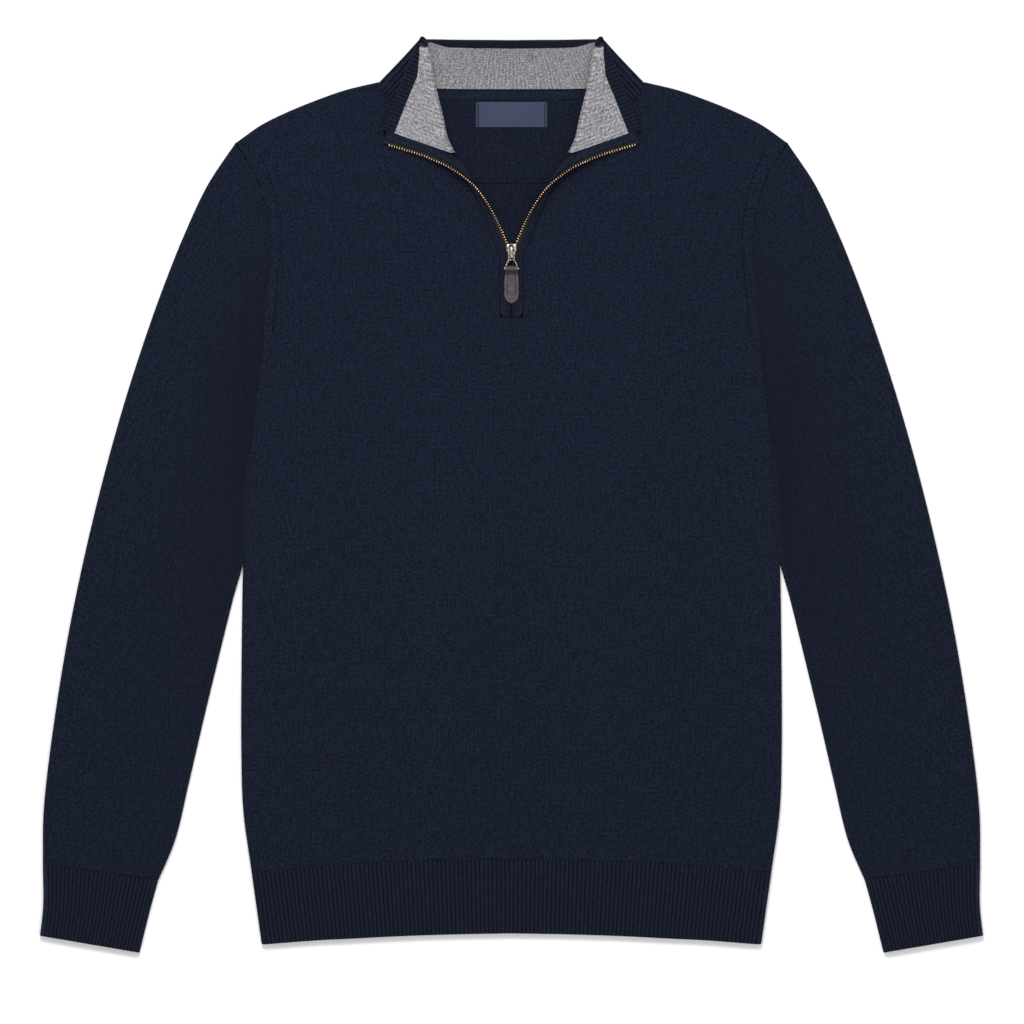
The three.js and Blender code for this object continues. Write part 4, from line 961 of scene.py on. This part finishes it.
def front_collar(share, row):
    """The turned-down front. Share 0 is at the zip and 1 at the side, row 0 at the seam and 6 at
    the edge."""
    seam = front_neck.along(FRONT_NECK_END * share)
    roll = roll_line.along(share)
    edge = flap_edge.along(share)
    inward = unit(roll - seam)
    back = unit(edge - roll)
    turn = np.radians(lerp(180, 55, smooth(share, 0.93, 1)))
    start = with_height(seam + inward * COLLAR_SEAM_GAP, COLLAR_SEAM_HEIGHT)
    fold_height = COLLAR_SEAM_HEIGHT + 0.2 + SIDE_RISE * smooth(share, 0.1, 1)
    fold = with_height(roll - inward * ROLL_RADIUS, fold_height)

    def rounded(angle):
        step = inward * (ROLL_RADIUS * np.sin(np.minimum(angle, np.pi / 2)))[..., None]
        past = np.where(angle > np.pi / 2, ROLL_RADIUS * (1 - np.sin(angle)), 0)
        step = step + back * past[..., None]
        return fold + with_height(step, ROLL_RADIUS * (1 - np.cos(angle)))

    over = rounded(turn)
    length = lerp(np.linalg.norm(edge - roll, axis=-1) + 0.01, 3, smooth(share, 0.96, 1))
    flat = np.where((np.cos(turn) < 0)[..., None], back, inward) * np.abs(np.cos(turn))[..., None]
    heading = with_height(flat, np.sin(turn))
    band = np.maximum(length - TOP_BAND, length * 0.5)
    reach = np.where(row <= 5, band * (row - 4), band + (length - band) * (row - 5))
    standing = toward(start, fold, row / 2)
    turning = rounded(turn * np.clip((row - 2) / 2, 0, 1))
    lying = over + heading * reach[..., None]
    return np.where((row <= 2)[..., None], standing, np.where((row <= 4)[..., None], turning, lying))


def back_collar(share, row):
    """The back, share 0 at the side of the neck and 1 at the middle"""
    seam = with_height(back_neck.along(0.93 * (1 - share)) + [0, COLLAR_SEAM_GAP], BACK_SEAM_HEIGHT)
    seam = toward(seam, BACK_SEAM_SIDE, (1 - share) ** 12)
    top = with_height(back_top_edge.along(1 - share), 0)
    rise = lerp(BACK_TOP_SIDE_HEIGHT - BACK_SEAM_HEIGHT, BACK_COLLAR_RISE, smooth(share, 0, 0.7))
    at_row = np.arange(len(SIDE_ROWS))
    at_side, at_back = np.interp(row, at_row, SIDE_ROWS), np.interp(row, at_row, BACK_ROWS)
    height = lerp(at_side, at_back, smooth(share, 0, 0.35))
    point = toward(seam, top, height)
    point[..., 2] = BACK_SEAM_HEIGHT + rise * height**1.15
    return point


def side_collar(turn, row):
    one, zero = np.ones_like(turn), np.zeros_like(turn)
    front = front_collar(one, row)
    back = back_collar(zero, row)
    half = (front - back) / 2
    centre = (front + back) / 2
    swing = np.pi * turn[..., None]
    radius = np.linalg.norm(half, axis=-1, keepdims=True)
    return centre + half * np.cos(swing) + SIDE_OUTWARD * radius * np.sin(swing)


def collar_surface(place, row):
    """The middle of the collar's wall. place is 0 at the middle of the back and COLLAR_HALF at the
    zip on the right, and less than 0 on the left."""
    place, row = np.broadcast_arrays(np.asarray(place, float), np.asarray(row, float))
    away = np.abs(place)
    back = back_collar(np.clip(1 - away / BACK_STEPS, 0, 1), row)
    turn = np.clip(1 - (away - BACK_STEPS) / FOLD_STEPS, 0, 1)
    front = front_collar(np.clip(1 - (away - BACK_STEPS - FOLD_STEPS) / FRONT_STEPS, 0, 1), row)
    side = side_collar(turn, row)
    point = np.where((away <= BACK_STEPS)[..., None], back,
                     np.where((away < BACK_STEPS + FOLD_STEPS)[..., None], side, front))
    one = np.ones_like(place)
    return point * np.stack([np.where(place < 0, -1, 1), one, one], axis=-1)


def collar_normal(place, row):
    """The outward direction of the collar, with the ribs' spread"""
    spread, step = 2.0, 0.5
    place, row = np.broadcast_arrays(np.asarray(place, float), np.asarray(row, float))
    before = collar_surface(np.clip(place - spread, -COLLAR_HALF, COLLAR_HALF), row)
    after = collar_surface(np.clip(place + spread, -COLLAR_HALF, COLLAR_HALF), row)
    below = collar_surface(place, np.clip(row - step, 0, 6))
    above = collar_surface(place, np.clip(row + step, 0, 6))
    return unit(np.cross(above - below, after - before))


COLLAR_ROWS = np.concatenate([
    np.linspace(0, 2, 9), np.linspace(2, 4, 10)[1:], np.linspace(4, 5, 9)[1:], np.linspace(5, 6, 9)[1:],
])
COLLAR_HEIGHT = 58


def band_row(place):
    """The row at which the turned-over top edge starts, higher at the back"""
    return 5 + 0.35 * (1 - smooth(np.abs(place), BACK_STEPS - 6, BACK_STEPS + 6))


def collar():
    per_step = 4
    places = np.linspace(-COLLAR_HALF, COLLAR_HALF, 2 * COLLAR_HALF * per_step + 1)
    place, row = np.meshgrid(places, COLLAR_ROWS, indexing="ij")
    middle = collar_surface(place, row)
    normal = collar_normal(place, row)
    ribs = RIB_HEIGHT * (rib_profile(place / 2) - 0.6)
    start = band_row(place)
    band = smooth(row, start - 0.1, start + 0.15)
    outer = middle + normal * (COLLAR_WALL / 2 + ribs)[..., None]
    fold_over = band * (1.5 + 0.35 * rib_profile(place / 2))
    inner = middle - normal * (COLLAR_WALL / 2 + fold_over)[..., None]
    down = np.cumsum(np.concatenate([[0], np.diff(COLLAR_ROWS)])) * COLLAR_HEIGHT / 6
    coords = np.stack([place * 1.75, np.broadcast_to(down, place.shape)], axis=-1)
    made = shell("collar_rib", outer, inner, coords, NAVY_RIB, bulge=1.0)
    return dress(made, "rib_navy", "collar")


def lining(name, first, last, first_row):
    near = COLLAR_WALL / 2 + 0.1
    places = np.linspace(first, last, int(abs(last - first) * 3) + 1)
    place, share = np.meshgrid(places, np.linspace(0, 1, 26), indexing="ij")
    row = lerp(first_row, band_row(place), share)
    middle = collar_surface(place, row)
    normal = collar_normal(place, row)
    ribs = 0.3 * rib_profile(place / 2)
    inner = middle - normal * near
    outer = middle - normal * (near + LINING_WALL + ribs)[..., None]
    length = np.linalg.norm(np.diff(middle, axis=1), axis=-1).cumsum(axis=1)
    down = np.concatenate([np.zeros((len(places), 1)), length], axis=1)
    made = shell(name + "_knit", outer, inner, np.stack([place * 1.75, down], axis=-1), GREY, bulge=0.3)
    return dress(made, "lining_grey", name)


collar()
side_end = FRONT_STEPS - 3
made = lining("collar_lining_left", -COLLAR_HALF, -COLLAR_HALF + side_end, 3)
made = lining("collar_lining_right", COLLAR_HALF - side_end, COLLAR_HALF, 3)
made = lining("collar_lining_back", -BACK_STEPS + 1, BACK_STEPS - 1, 1.1)


# Strips beside the zip

def zip_place(share, reach, lift, side):
    """Points at a reach from the teeth and a lift from the tape, in shares of the zip's line"""
    teeth, across, outer, _ = zip_frame(share)
    point = teeth - across * np.asarray(reach)[..., None] + outer * np.asarray(lift)[..., None]
    return point if side > 0 else mirror(point)


def strip(name, side, first, from_reach, to_reach, low, high, material, slot, node):
    share = np.linspace(first, 1, 220)
    _, _, _, band = zip_frame(share)
    near = from_reach(band)
    mix = np.linspace(0, 1, 6)[:, None]
    reach = lerp(near[None, :], to_reach, mix)
    shares = np.broadcast_to(share[None, :], reach.shape)
    crown = 0.15 * (high - low) * np.sin(np.pi * mix)
    outer = zip_place(shares, reach, np.broadcast_to(high - crown.max() + crown, reach.shape), side)
    inner = zip_place(shares, reach, np.broadcast_to(low, reach.shape), side)
    down = shares * zip_line.length
    made = shell(name, outer, inner, np.stack([reach, down], axis=-1), material, bulge=0.2)
    return dress(made, slot, node)


BAND_REACH = 9.4
BAND_LIFT = 1.75
BAND_HALF_HEIGHT = 1.05
CORNER_RADIUS = 3.5


def band(name, side, node):
    """The knitted tube outside the zip, rounded all the way along"""
    share = np.linspace(0, 1, 260)
    _, _, _, start = zip_frame(share)
    turns = np.linspace(0, 2 * np.pi, 20, endpoint=False)
    past = CORNER_RADIUS - np.minimum(share * zip_line.length, CORNER_RADIUS)
    far = BAND_REACH - CORNER_RADIUS + np.sqrt(np.maximum(0, CORNER_RADIUS**2 - past**2))
    half = (far - start) / 2
    middle = (far + start) / 2
    squash = 0.6
    wide = np.sign(np.cos(turns)) * np.abs(np.cos(turns)) ** squash
    tall = np.sign(np.sin(turns)) * np.abs(np.sin(turns)) ** squash
    reach = middle[None, :] - half[None, :] * wide[:, None]
    lift = BAND_LIFT + BAND_HALF_HEIGHT * tall[:, None] + np.zeros_like(reach)
    shares = np.broadcast_to(share[None, :], reach.shape)
    outer = zip_place(shares, reach, lift, side)
    hollow = 0.45
    inner = zip_place(shares, lerp(middle[None, :], reach, hollow), lerp(BAND_LIFT, lift, hollow), side)
    coords = tube_coords(outer, share * zip_line.length)
    made = shell(name, outer, inner, coords, NAVY, closed=True, bulge=0.05)
    return dress(made, "facing_navy", node)


def woven(name, colour):
    look = Look(name, roughness=0.75, specular=0.3)
    place, across, along = look.cloth_place()
    over = look.math("SINE", look.math("MULTIPLY", along, 2 * math.pi / 0.7))
    under = look.math("SINE", look.math("MULTIPLY", across, 2 * math.pi / 0.6))
    height = look.math("MULTIPLY", over, under)
    grain = look.noise(place, 1.2)
    look.colour(look.shade([(0.2, linear(*(c * 0.6 for c in colour))), (0.8, linear(*colour))], grain))
    look.bump(height, 0.08)
    return look.material


TAPE_START = 0.02
TAPE_CLOTH = woven("zip_tape_cloth", (26, 26, 30))

for side, name in ((1, "right"), (-1, "left")):
    made = strip(f"zip_tape_{name}_cloth", side, TAPE_START, lambda band: 0.9 + 0 * band, 9.2, -0.3, 0.3,
                 TAPE_CLOTH, "zip_tape", f"zip_tape_{name}")
    made = strip(f"zip_facing_{name}_knit", side, TAPE_START, lambda band: np.maximum(1.5, band), 12,
                 -1.9, -0.75, NAVY_TRIM, "facing_navy", f"zip_facing_{name}")
    band(f"placket_band_{name}_knit", side, f"placket_band_{name}")


# Zip teeth

def metal(name, dark, light, roughness):
    look = Look(name, roughness=roughness, metallic=1)
    where = look.tree.nodes.new("ShaderNodeTexCoord").outputs["Object"]
    wear = look.noise(where, 900, detail=3)
    look.colour(look.shade([(0.35, dark), (0.65, light)], wear))
    look.bump(look.noise(where, 2600), 0.03)
    return look.material


BRASS = metal("brass_teeth", linear(150, 112, 80), linear(240, 205, 165), 0.3)
NICKEL = metal("pale_nickel", linear(118, 110, 100), linear(205, 196, 182), 0.28)


def rounded_block(size, segments=3, squareness=0.5):
    """A soft block round the origin as points and faces: a sphere pushed toward a box"""
    rings, sides = 2 * segments, 4 * segments
    polar = np.linspace(-np.pi / 2, np.pi / 2, rings + 1)[:, None]
    turn = np.linspace(0, 2 * np.pi, sides, endpoint=False)[None, :]

    def bent(value):
        return np.sign(value) * np.abs(value) ** squareness

    x = bent(np.cos(polar)) * bent(np.cos(turn))
    y = bent(np.cos(polar)) * bent(np.sin(turn))
    z = bent(np.sin(polar)) + 0 * turn
    points = np.stack([x, y, z], axis=-1) * np.array(size) / 2
    index = np.arange((rings + 1) * sides).reshape(rings + 1, sides)
    index = np.hstack([index, index[:, :1]])
    cells = (index[:-1, :-1], index[:-1, 1:], index[1:, 1:], index[1:, :-1])
    return points.reshape(-1, 3), np.stack(cells, axis=-1).reshape(-1, 4)


def repeated(name, shape, frames, material, body=BODY):
    """Copies of a shape joined in one mesh, each at an origin with three directions"""
    points, faces = shape
    vertices = [origin + points @ directions for origin, directions in frames]
    all_faces = [faces + k * len(points) for k in range(len(frames))]
    faces = np.concatenate(all_faces)
    return piece(name, np.concatenate(vertices), faces, material, body=body)


TOOTH_SIZE = (2.1, 1.05, 1.7)
TEETH_START = 46
TEETH_END = 4


def teeth(side, name):
    lengths = zip_line.lengths
    count = int(zip_line.length / TOOTH_PITCH)
    spots = (np.arange(count) + (0.25 if side > 0 else 0.75)) * TOOTH_PITCH
    shares = np.interp(spots, lengths, zip_line.shares)
    shares = shares[(spots > TEETH_START) & (spots < zip_line.length - TEETH_END)]
    centre, across, outer, _ = zip_frame(shares)
    frames = []
    for at, inward, up in zip(centre, across, outer):
        along = np.cross(up, inward)
        frame_at = at - inward * 0.25
        directions = np.array([inward, along, up])
        if side < 0:
            frame_at = mirror(frame_at)
            directions = mirror(directions)
        frames.append((frame_at, directions))
    repeated(f"zip_teeth_{name}", rounded_block(TOOTH_SIZE), frames, BRASS)


teeth(1, "right")
teeth(-1, "left")


fashion_marks(1, "right")
fashion_marks(-1, "left")
front_panel()
back_panel()


# Inside the neck

PATCH = {"half_width": 95, "top": 324, "bottom": 255.4, "low": 2.75, "high": 3.5, "squareness": 3}


def neck_patch():
    turn = np.linspace(0, np.pi, 90)
    power = 2 / PATCH["squareness"]
    x = PATCH["half_width"] * np.sign(np.cos(turn)) * np.abs(np.cos(turn)) ** power
    y = PATCH["top"] - (PATCH["top"] - PATCH["bottom"]) * np.sin(turn) ** power
    mix = np.linspace(0, 1, 24)[None, :]
    plan_x = x[:, None] + 0 * mix
    plan_y = lerp(y[:, None], PATCH["top"], mix)
    rise = 0.12 * swell(plan_x, plan_y, 50, 51)
    outer = np.stack([plan_x, plan_y, PATCH["high"] + rise], axis=-1)
    inner = np.stack([plan_x, plan_y, PATCH["low"] + 0 * rise], axis=-1)
    made = shell("neck_patch_knit", outer, inner, outer[..., :2], NAVY_INSIDE_SHADED, bulge=0.2)
    return dress(made, "knit_navy", "neck_patch")


def neck_tape():
    half_width, width, low, high = 96, 6.9, 2.75, 3.7
    x = np.linspace(-half_width, half_width, 120)
    upper = back_neck.along(np.minimum(1, np.abs(x) / BACK_NECK[-1][0]))[:, 1] - SEAM_GAP
    mix = np.linspace(0, 1, 10)[None, :]
    plan_y = upper[:, None] - width * mix
    crown = 0.35 * np.sin(np.pi * mix) ** 0.6
    plan_x = x[:, None] + 0 * mix
    outer = np.stack([plan_x, plan_y, high + crown + 0 * plan_x], axis=-1)
    inner = np.stack([plan_x, plan_y, low + 0 * plan_x], axis=-1)
    made = shell("neck_tape_knit", outer, inner, outer[..., [1, 0]], NAVY_TRIM, bulge=0.3)
    return dress(made, "facing_navy", "neck_tape")


def satin(name, dark, light):
    look = Look(name, roughness=0.5, specular=0.5, sheen=0.2)
    place, across, along = look.cloth_place()
    twill = look.math("SINE", look.math("MULTIPLY", look.math("ADD", across, along), 2 * math.pi / 0.55))
    grain = look.noise(place, 1.5, (1, 0.3, 1))
    value = look.math("ADD", look.math("MULTIPLY", twill, 0.2), grain)
    look.colour(look.shade([(0.2, dark), (0.8, light)], value))
    look.bump(twill, 0.05)
    return look.material


LABEL_CLOTH = satin("label_satin", linear(31, 37, 64), linear(44, 52, 85))


LABEL_STITCH_X = 27.4


def label():
    width, height, middle, low, high = 58, 20.3, 311.6, 3.8, 4.3
    columns, rows = np.linspace(-width / 2, width / 2, 48), np.linspace(-height / 2, height / 2, 22)
    x, y = np.meshgrid(columns, rows, indexing="ij")
    edge = np.minimum(width / 2 - np.abs(x), height / 2 - np.abs(y))
    fold = 0.28 * smooth(1.9 - (width / 2 - np.abs(x)), 0, 0.6)
    puff = 0.25 * smooth(edge, 1.2, 3) + fold + 0.12 * np.sin(x / 9 + 1) * smooth(edge, 1, 4)
    outer = np.stack([x, middle + y, high + puff], axis=-1)
    inner = np.stack([x, middle + y, low + 0 * x], axis=-1)
    made = shell("label_woven", outer, inner, outer[..., :2], LABEL_CLOTH, bulge=0.15)
    frames = []
    for x in (-LABEL_STITCH_X, LABEL_STITCH_X):
        for y in np.linspace(-0.42 * height, 0.42 * height, 9):
            frames.append((np.array([x, middle + y, high + 0.45]), np.eye(3)))
    repeated("label_stitches", rounded_block((1, 1.5, 0.35)), frames, NAVY_TRIM)
    return dress(made, "label_blue", "label")


neck_patch()
neck_tape()
label()


# Slider, bail and tab

WIRE = 0.5
BAIL_TOP = np.array([2.6, 198, 8.7])
BAIL_KNEE = np.array([2.2, 192.8, 9])
BAIL_FOOT = np.array([5.6, 185.2, 9.7])
BALL = 0.95
ARCH = [
    (0, 204.6, 6.2), (0, 204, 8.4), (0, 202.2, 9.9), (0, 198, 10.1),
    (0, 194.6, 9.7), (0, 193.3, 8.2), (0, 193, 6.4),
]
PLATE_SIZE = (8.4, 12.9, 1.5)
PLATE_PLACES = [(0, 199.4, 3.6), (0, 199.4, 5.6)]
SHOULDER_SIZE = (3.4, 7.4, 2.6)
SHOULDER_PLACES = [(2.7, 202.2, 6), (-2.7, 202.2, 6)]
FOOT_BAR = [(-1.9, 192.4, 6.9), (0, 192.4, 6.9), (1.9, 192.4, 6.9)]
TAB = {"half_width": 5.6, "bottom": 156.9, "low": 7.7, "high": 9.9, "loop": 2, "point": 7.5}
STITCH_INSET = 1.9
STITCH_HEIGHT = TAB["high"] - 0.15
QUARTER_TURN = np.array([[0, 1, 0], [-1, 0, 0], [0, 0, 1.0]])


def rod(path, wide, thick, reference=(0, 0, 1), turns=12):
    """A round-ended rod along a path, as points and faces"""
    path = np.array(path, float)
    tangent = unit(np.gradient(path, axis=0))
    caps = np.radians([10, 30, 50, 70])
    first = [(path[0] - tangent[0] * thick * math.cos(a), tangent[0], math.sin(a)) for a in caps]
    last = [(path[-1] + tangent[-1] * thick * math.cos(a), tangent[-1], math.sin(a)) for a in caps[::-1]]
    rings = first + [(p, t, 1) for p, t in zip(path, tangent)] + last
    angles = np.linspace(0, 2 * np.pi, turns, endpoint=False)
    points = []
    for centre, heading, size in rings:
        side = unit(np.cross(heading, np.array(reference, float)))
        up = np.cross(side, heading)
        points.append(centre + size * (
            np.outer(np.cos(angles) * wide, side) + np.outer(np.sin(angles) * thick, up)))
    index = np.arange(len(rings) * turns).reshape(len(rings), turns)
    index = np.hstack([index, index[:, :1]])
    cells = (index[:-1, :-1], index[:-1, 1:], index[1:, 1:], index[1:, :-1])
    faces = np.stack(cells, axis=-1).reshape(-1, 4)
    ends = []
    for ring, order in ((index[0, :-1], 1), (index[-1, :-1], -1)):
        for k in range(1, turns - 2, 2):
            ends.append([ring[0], ring[k], ring[k + 1], ring[k + 2]][::order])
    return np.concatenate(points), np.concatenate([faces, np.array(ends)])


def joined(name, shapes, material, body):
    """Several closed shapes as one piece, each turned so that its faces point out"""
    vertices, faces, count = [], [], 0
    for points, quads in shapes:
        if signed_volume(points, quads) < 0:
            quads = quads[:, ::-1]
        vertices.append(points)
        faces.append(quads + count)
        count += len(points)
    return piece(name, np.concatenate(vertices), np.concatenate(faces), material, body=body)


def block(size, place, segments=4, squareness=0.6, taper=1):
    """A rounded block at a place, its lower end narrowed by a taper"""
    points, faces = rounded_block(size, segments, squareness)
    points[:, 0] *= lerp(taper, 1, np.clip(points[:, 1] / size[1] + 0.5, 0, 1))
    return points + np.array(place), faces


def smooth_path(points):
    """More points along a path, rounded at its corners"""
    points = np.array(points, float)
    line = Curve([(k, 0) for k in range(len(points))])
    line.points = np.vstack([2 * points[0] - points[1], points, 2 * points[-1] - points[-2]])
    return line.at(np.linspace(0, 1, 22))


def slider():
    shapes = [block(PLATE_SIZE, place, taper=0.66) for place in PLATE_PLACES]
    shapes += [block(SHOULDER_SIZE, place) for place in SHOULDER_PLACES]
    shapes += [
        block((2.6, 2.6, 3), (0, 203.6, 4.6)),
        rod(smooth_path(ARCH), 0.62, 1.25, reference=(1, 0, 0)),
        rod(FOOT_BAR, 0.6, 0.6),
    ]
    return dress(joined("slider_body", shapes, NICKEL, BODY), "zip_metal", "slider")


def bail():
    flip = np.array([-1, 1, 1])
    shapes = [rod([BAIL_TOP * flip, BAIL_TOP * [0, 1, 1], BAIL_TOP], WIRE, WIRE)]
    shapes.append(rod([BAIL_FOOT * flip, BAIL_FOOT * [0, 1, 1], BAIL_FOOT], WIRE, WIRE))
    for turn in (np.ones(3), flip):
        corners = [BAIL_TOP, lerp(BAIL_TOP, BAIL_KNEE, 0.5), BAIL_KNEE, lerp(BAIL_KNEE, BAIL_FOOT, 0.5)]
        path = smooth_path(corners + [BAIL_FOOT])
        shapes.append(rod(path * turn, WIRE, WIRE))
        shapes.append(block((2 * BALL,) * 3, BAIL_FOOT * turn, squareness=1))
    return dress(joined("bail_wire", shapes, NICKEL, "bail"), "zip_metal", "pull_bail")


def leather():
    look = Look("brown_leather", roughness=0.6, specular=0.2)
    place, edge, along = look.cloth_place()
    grain = look.noise(place, 1.6, detail=4)
    cloud = look.noise(place, 0.3, detail=2)
    rim = look.math("MULTIPLY", look.math("LESS_THAN", edge, 1.2), 0.16)
    # A darker band across the tab under the loop: painted shadow of the fold.
    fold = look.math("COMPARE", along, FOLD_SHADOW_BAND[0], FOLD_SHADOW_BAND[1])
    value = weighted(look, (grain, 0.5), (cloud, 0.5), (rim, 1), (fold, -0.35))
    stops = [(0.1, linear(26, 21, 23)), (0.4, linear(59, 49, 52)), (0.75, linear(98, 85, 88))]
    look.colour(look.shade(stops, value))
    look.bump(grain, 0.12)
    return look.material


# Middle and half-width of the fold under the loop: the tab's top dips there and its colour has a band of
# painted shadow.
FOLD_SHADOW_BAND = (181.6, 1.7)
LEATHER = leather()
THREAD = Look("dark_thread", roughness=0.8, specular=0.1)
THREAD.colour(linear(20, 18, 22))


def tab_half_width(y):
    rise = np.clip((y - TAB["bottom"]) / TAB["point"], 0, 1)
    return TAB["half_width"] * (1 - (1 - rise) ** 2.1) ** 0.62 * lerp(1, 0.9, smooth(y, 172, 184))


def tab():
    steps = 0.5 - 0.5 * np.cos(np.linspace(0, np.pi, 90))
    y = (TAB["bottom"] + 0.05 + (BAIL_FOOT[1] + TAB["loop"] - TAB["bottom"] - 0.1) * steps)[None, :]
    share = np.sin(np.linspace(-np.pi / 2, np.pi / 2, 40))[:, None]
    x = share * tab_half_width(y)
    from_foot = np.sqrt(np.maximum(0.02, TAB["loop"] ** 2 - (y - BAIL_FOOT[1]) ** 2))
    on_loop = smooth(y, BAIL_FOOT[1] - TAB["loop"], BAIL_FOOT[1] - 0.6 * TAB["loop"])
    edge = np.minimum(tab_half_width(y) - np.abs(x), (y - TAB["bottom"]) * 0.8)
    groove = 0.3 * np.exp(-(((edge - STITCH_INSET) / 0.5) ** 2)) + 0.5 * smooth(0.7 - edge, 0, 0.7)
    dip = 0.55 * np.exp(-(((y - FOLD_SHADOW_BAND[0]) / 1.1) ** 2)) * np.ones_like(x)
    flat_top = TAB["high"] - groove - dip + 0.2 * smooth(edge, STITCH_INSET + 0.4, 4)
    top = lerp(flat_top, BAIL_FOOT[2] + from_foot, on_loop)
    bottom = lerp(np.full_like(x, TAB["low"]), BAIL_FOOT[2] - from_foot, on_loop)
    wide_y = np.broadcast_to(y, x.shape)
    outer = np.stack([x, wide_y, top], axis=-1)
    inner = np.stack([x, wide_y, bottom], axis=-1)
    coords = np.stack([edge, wide_y], axis=-1)
    made = shell("tab_leather", outer, inner, coords, LEATHER, bulge=0.25, body="tab")
    frames = []
    for side in (-1, 1):
        for stitch_y in np.linspace(164.4, 178.6, 7):
            x_side = side * (tab_half_width(stitch_y) - STITCH_INSET)
            frames.append((np.array([x_side, stitch_y, STITCH_HEIGHT]), np.eye(3)))
    for x_end, y_end, lean in ((-1.5, 160.9, -0.6), (1.5, 160.9, 0.6)):
        cos, sin = math.cos(lean), math.sin(lean)
        turned = np.array([[cos, sin, 0], [-sin, cos, 0], [0, 0, 1]])
        frames.append((np.array([x_end, y_end, STITCH_HEIGHT]), turned @ QUARTER_TURN))
    stitch = rounded_block((0.6, 1.5, 0.5))
    repeated("tab_stitches", stitch, frames, THREAD.material, body="tab")
    return dress(made, "leather", "pull_tab")


def placket_stitches():
    half_width, foot, sag, height = 8.2, 148.6, 0.8, 7.35
    frames = []
    for x in np.linspace(-half_width, half_width, 9):
        at = np.array([x, foot - sag * math.cos(x / half_width * 1.2), height])
        frames.append((at, QUARTER_TURN))
    repeated("placket_stitches", rounded_block((0.5, 1.3, 0.4)), frames, THREAD.material)


slider()
bail()
tab()
placket_stitches()


# Floor, light and camera

PIXEL = 0.82
VIEW_CENTRE = (0.41 * MM, -14.35 * MM)
VIEW_WIDTH = 1024 * PIXEL * MM
LENS = 400
SENSOR = 36


def floor():
    mesh = bpy.data.meshes.new("floor")
    reach = 30
    corners = [(-reach, -reach, 0), (reach, -reach, 0), (reach, reach, 0), (-reach, reach, 0)]
    mesh.from_pydata(corners, [], [(0, 1, 2, 3)])
    look = Look("pale_floor", roughness=0.9, specular=0.1)
    look.shader.inputs["Base Color"].default_value = (0.93, 0.93, 0.93, 1)
    mesh.materials.append(look.material)
    made = bpy.data.objects.new("floor", mesh)
    made.location.z = -0.0003
    bpy.context.scene.collection.objects.link(made)


def lamp(name, place, target, size, power):
    data = bpy.data.lights.new(name, "AREA")
    data.shape = "DISK"
    data.size = size
    data.energy = power
    made = bpy.data.objects.new(name, data)
    made.location = place
    made.rotation_euler = (Vector(target) - Vector(place)).to_track_quat("-Z", "Y").to_euler()
    bpy.context.scene.collection.objects.link(made)


def studio():
    world = bpy.data.worlds.new("studio")
    world.use_nodes = True
    background = world.node_tree.nodes["Background"]
    background.inputs["Color"].default_value = (1, 1, 1, 1)
    background.inputs["Strength"].default_value = 0.6
    bpy.context.scene.world = world
    lamp("key", (-0.25, 1.25, 1.9), (0, 0, 0), 0.9, 37)
    lamp("fill", (0.5, -0.9, 2.2), (0, 0, 0), 1.6, 13)


def camera():
    data = bpy.data.cameras.new("camera")
    data.lens = LENS
    data.sensor_width = SENSOR
    made = bpy.data.objects.new("camera", data)
    distance = VIEW_WIDTH * LENS / SENSOR
    made.location = (*VIEW_CENTRE, distance + 0.006)
    data.clip_end = 4 * distance
    bpy.context.scene.collection.objects.link(made)
    bpy.context.scene.camera = made


floor()
studio()
camera()
bpy.context.scene.view_settings.view_transform = "Standard"
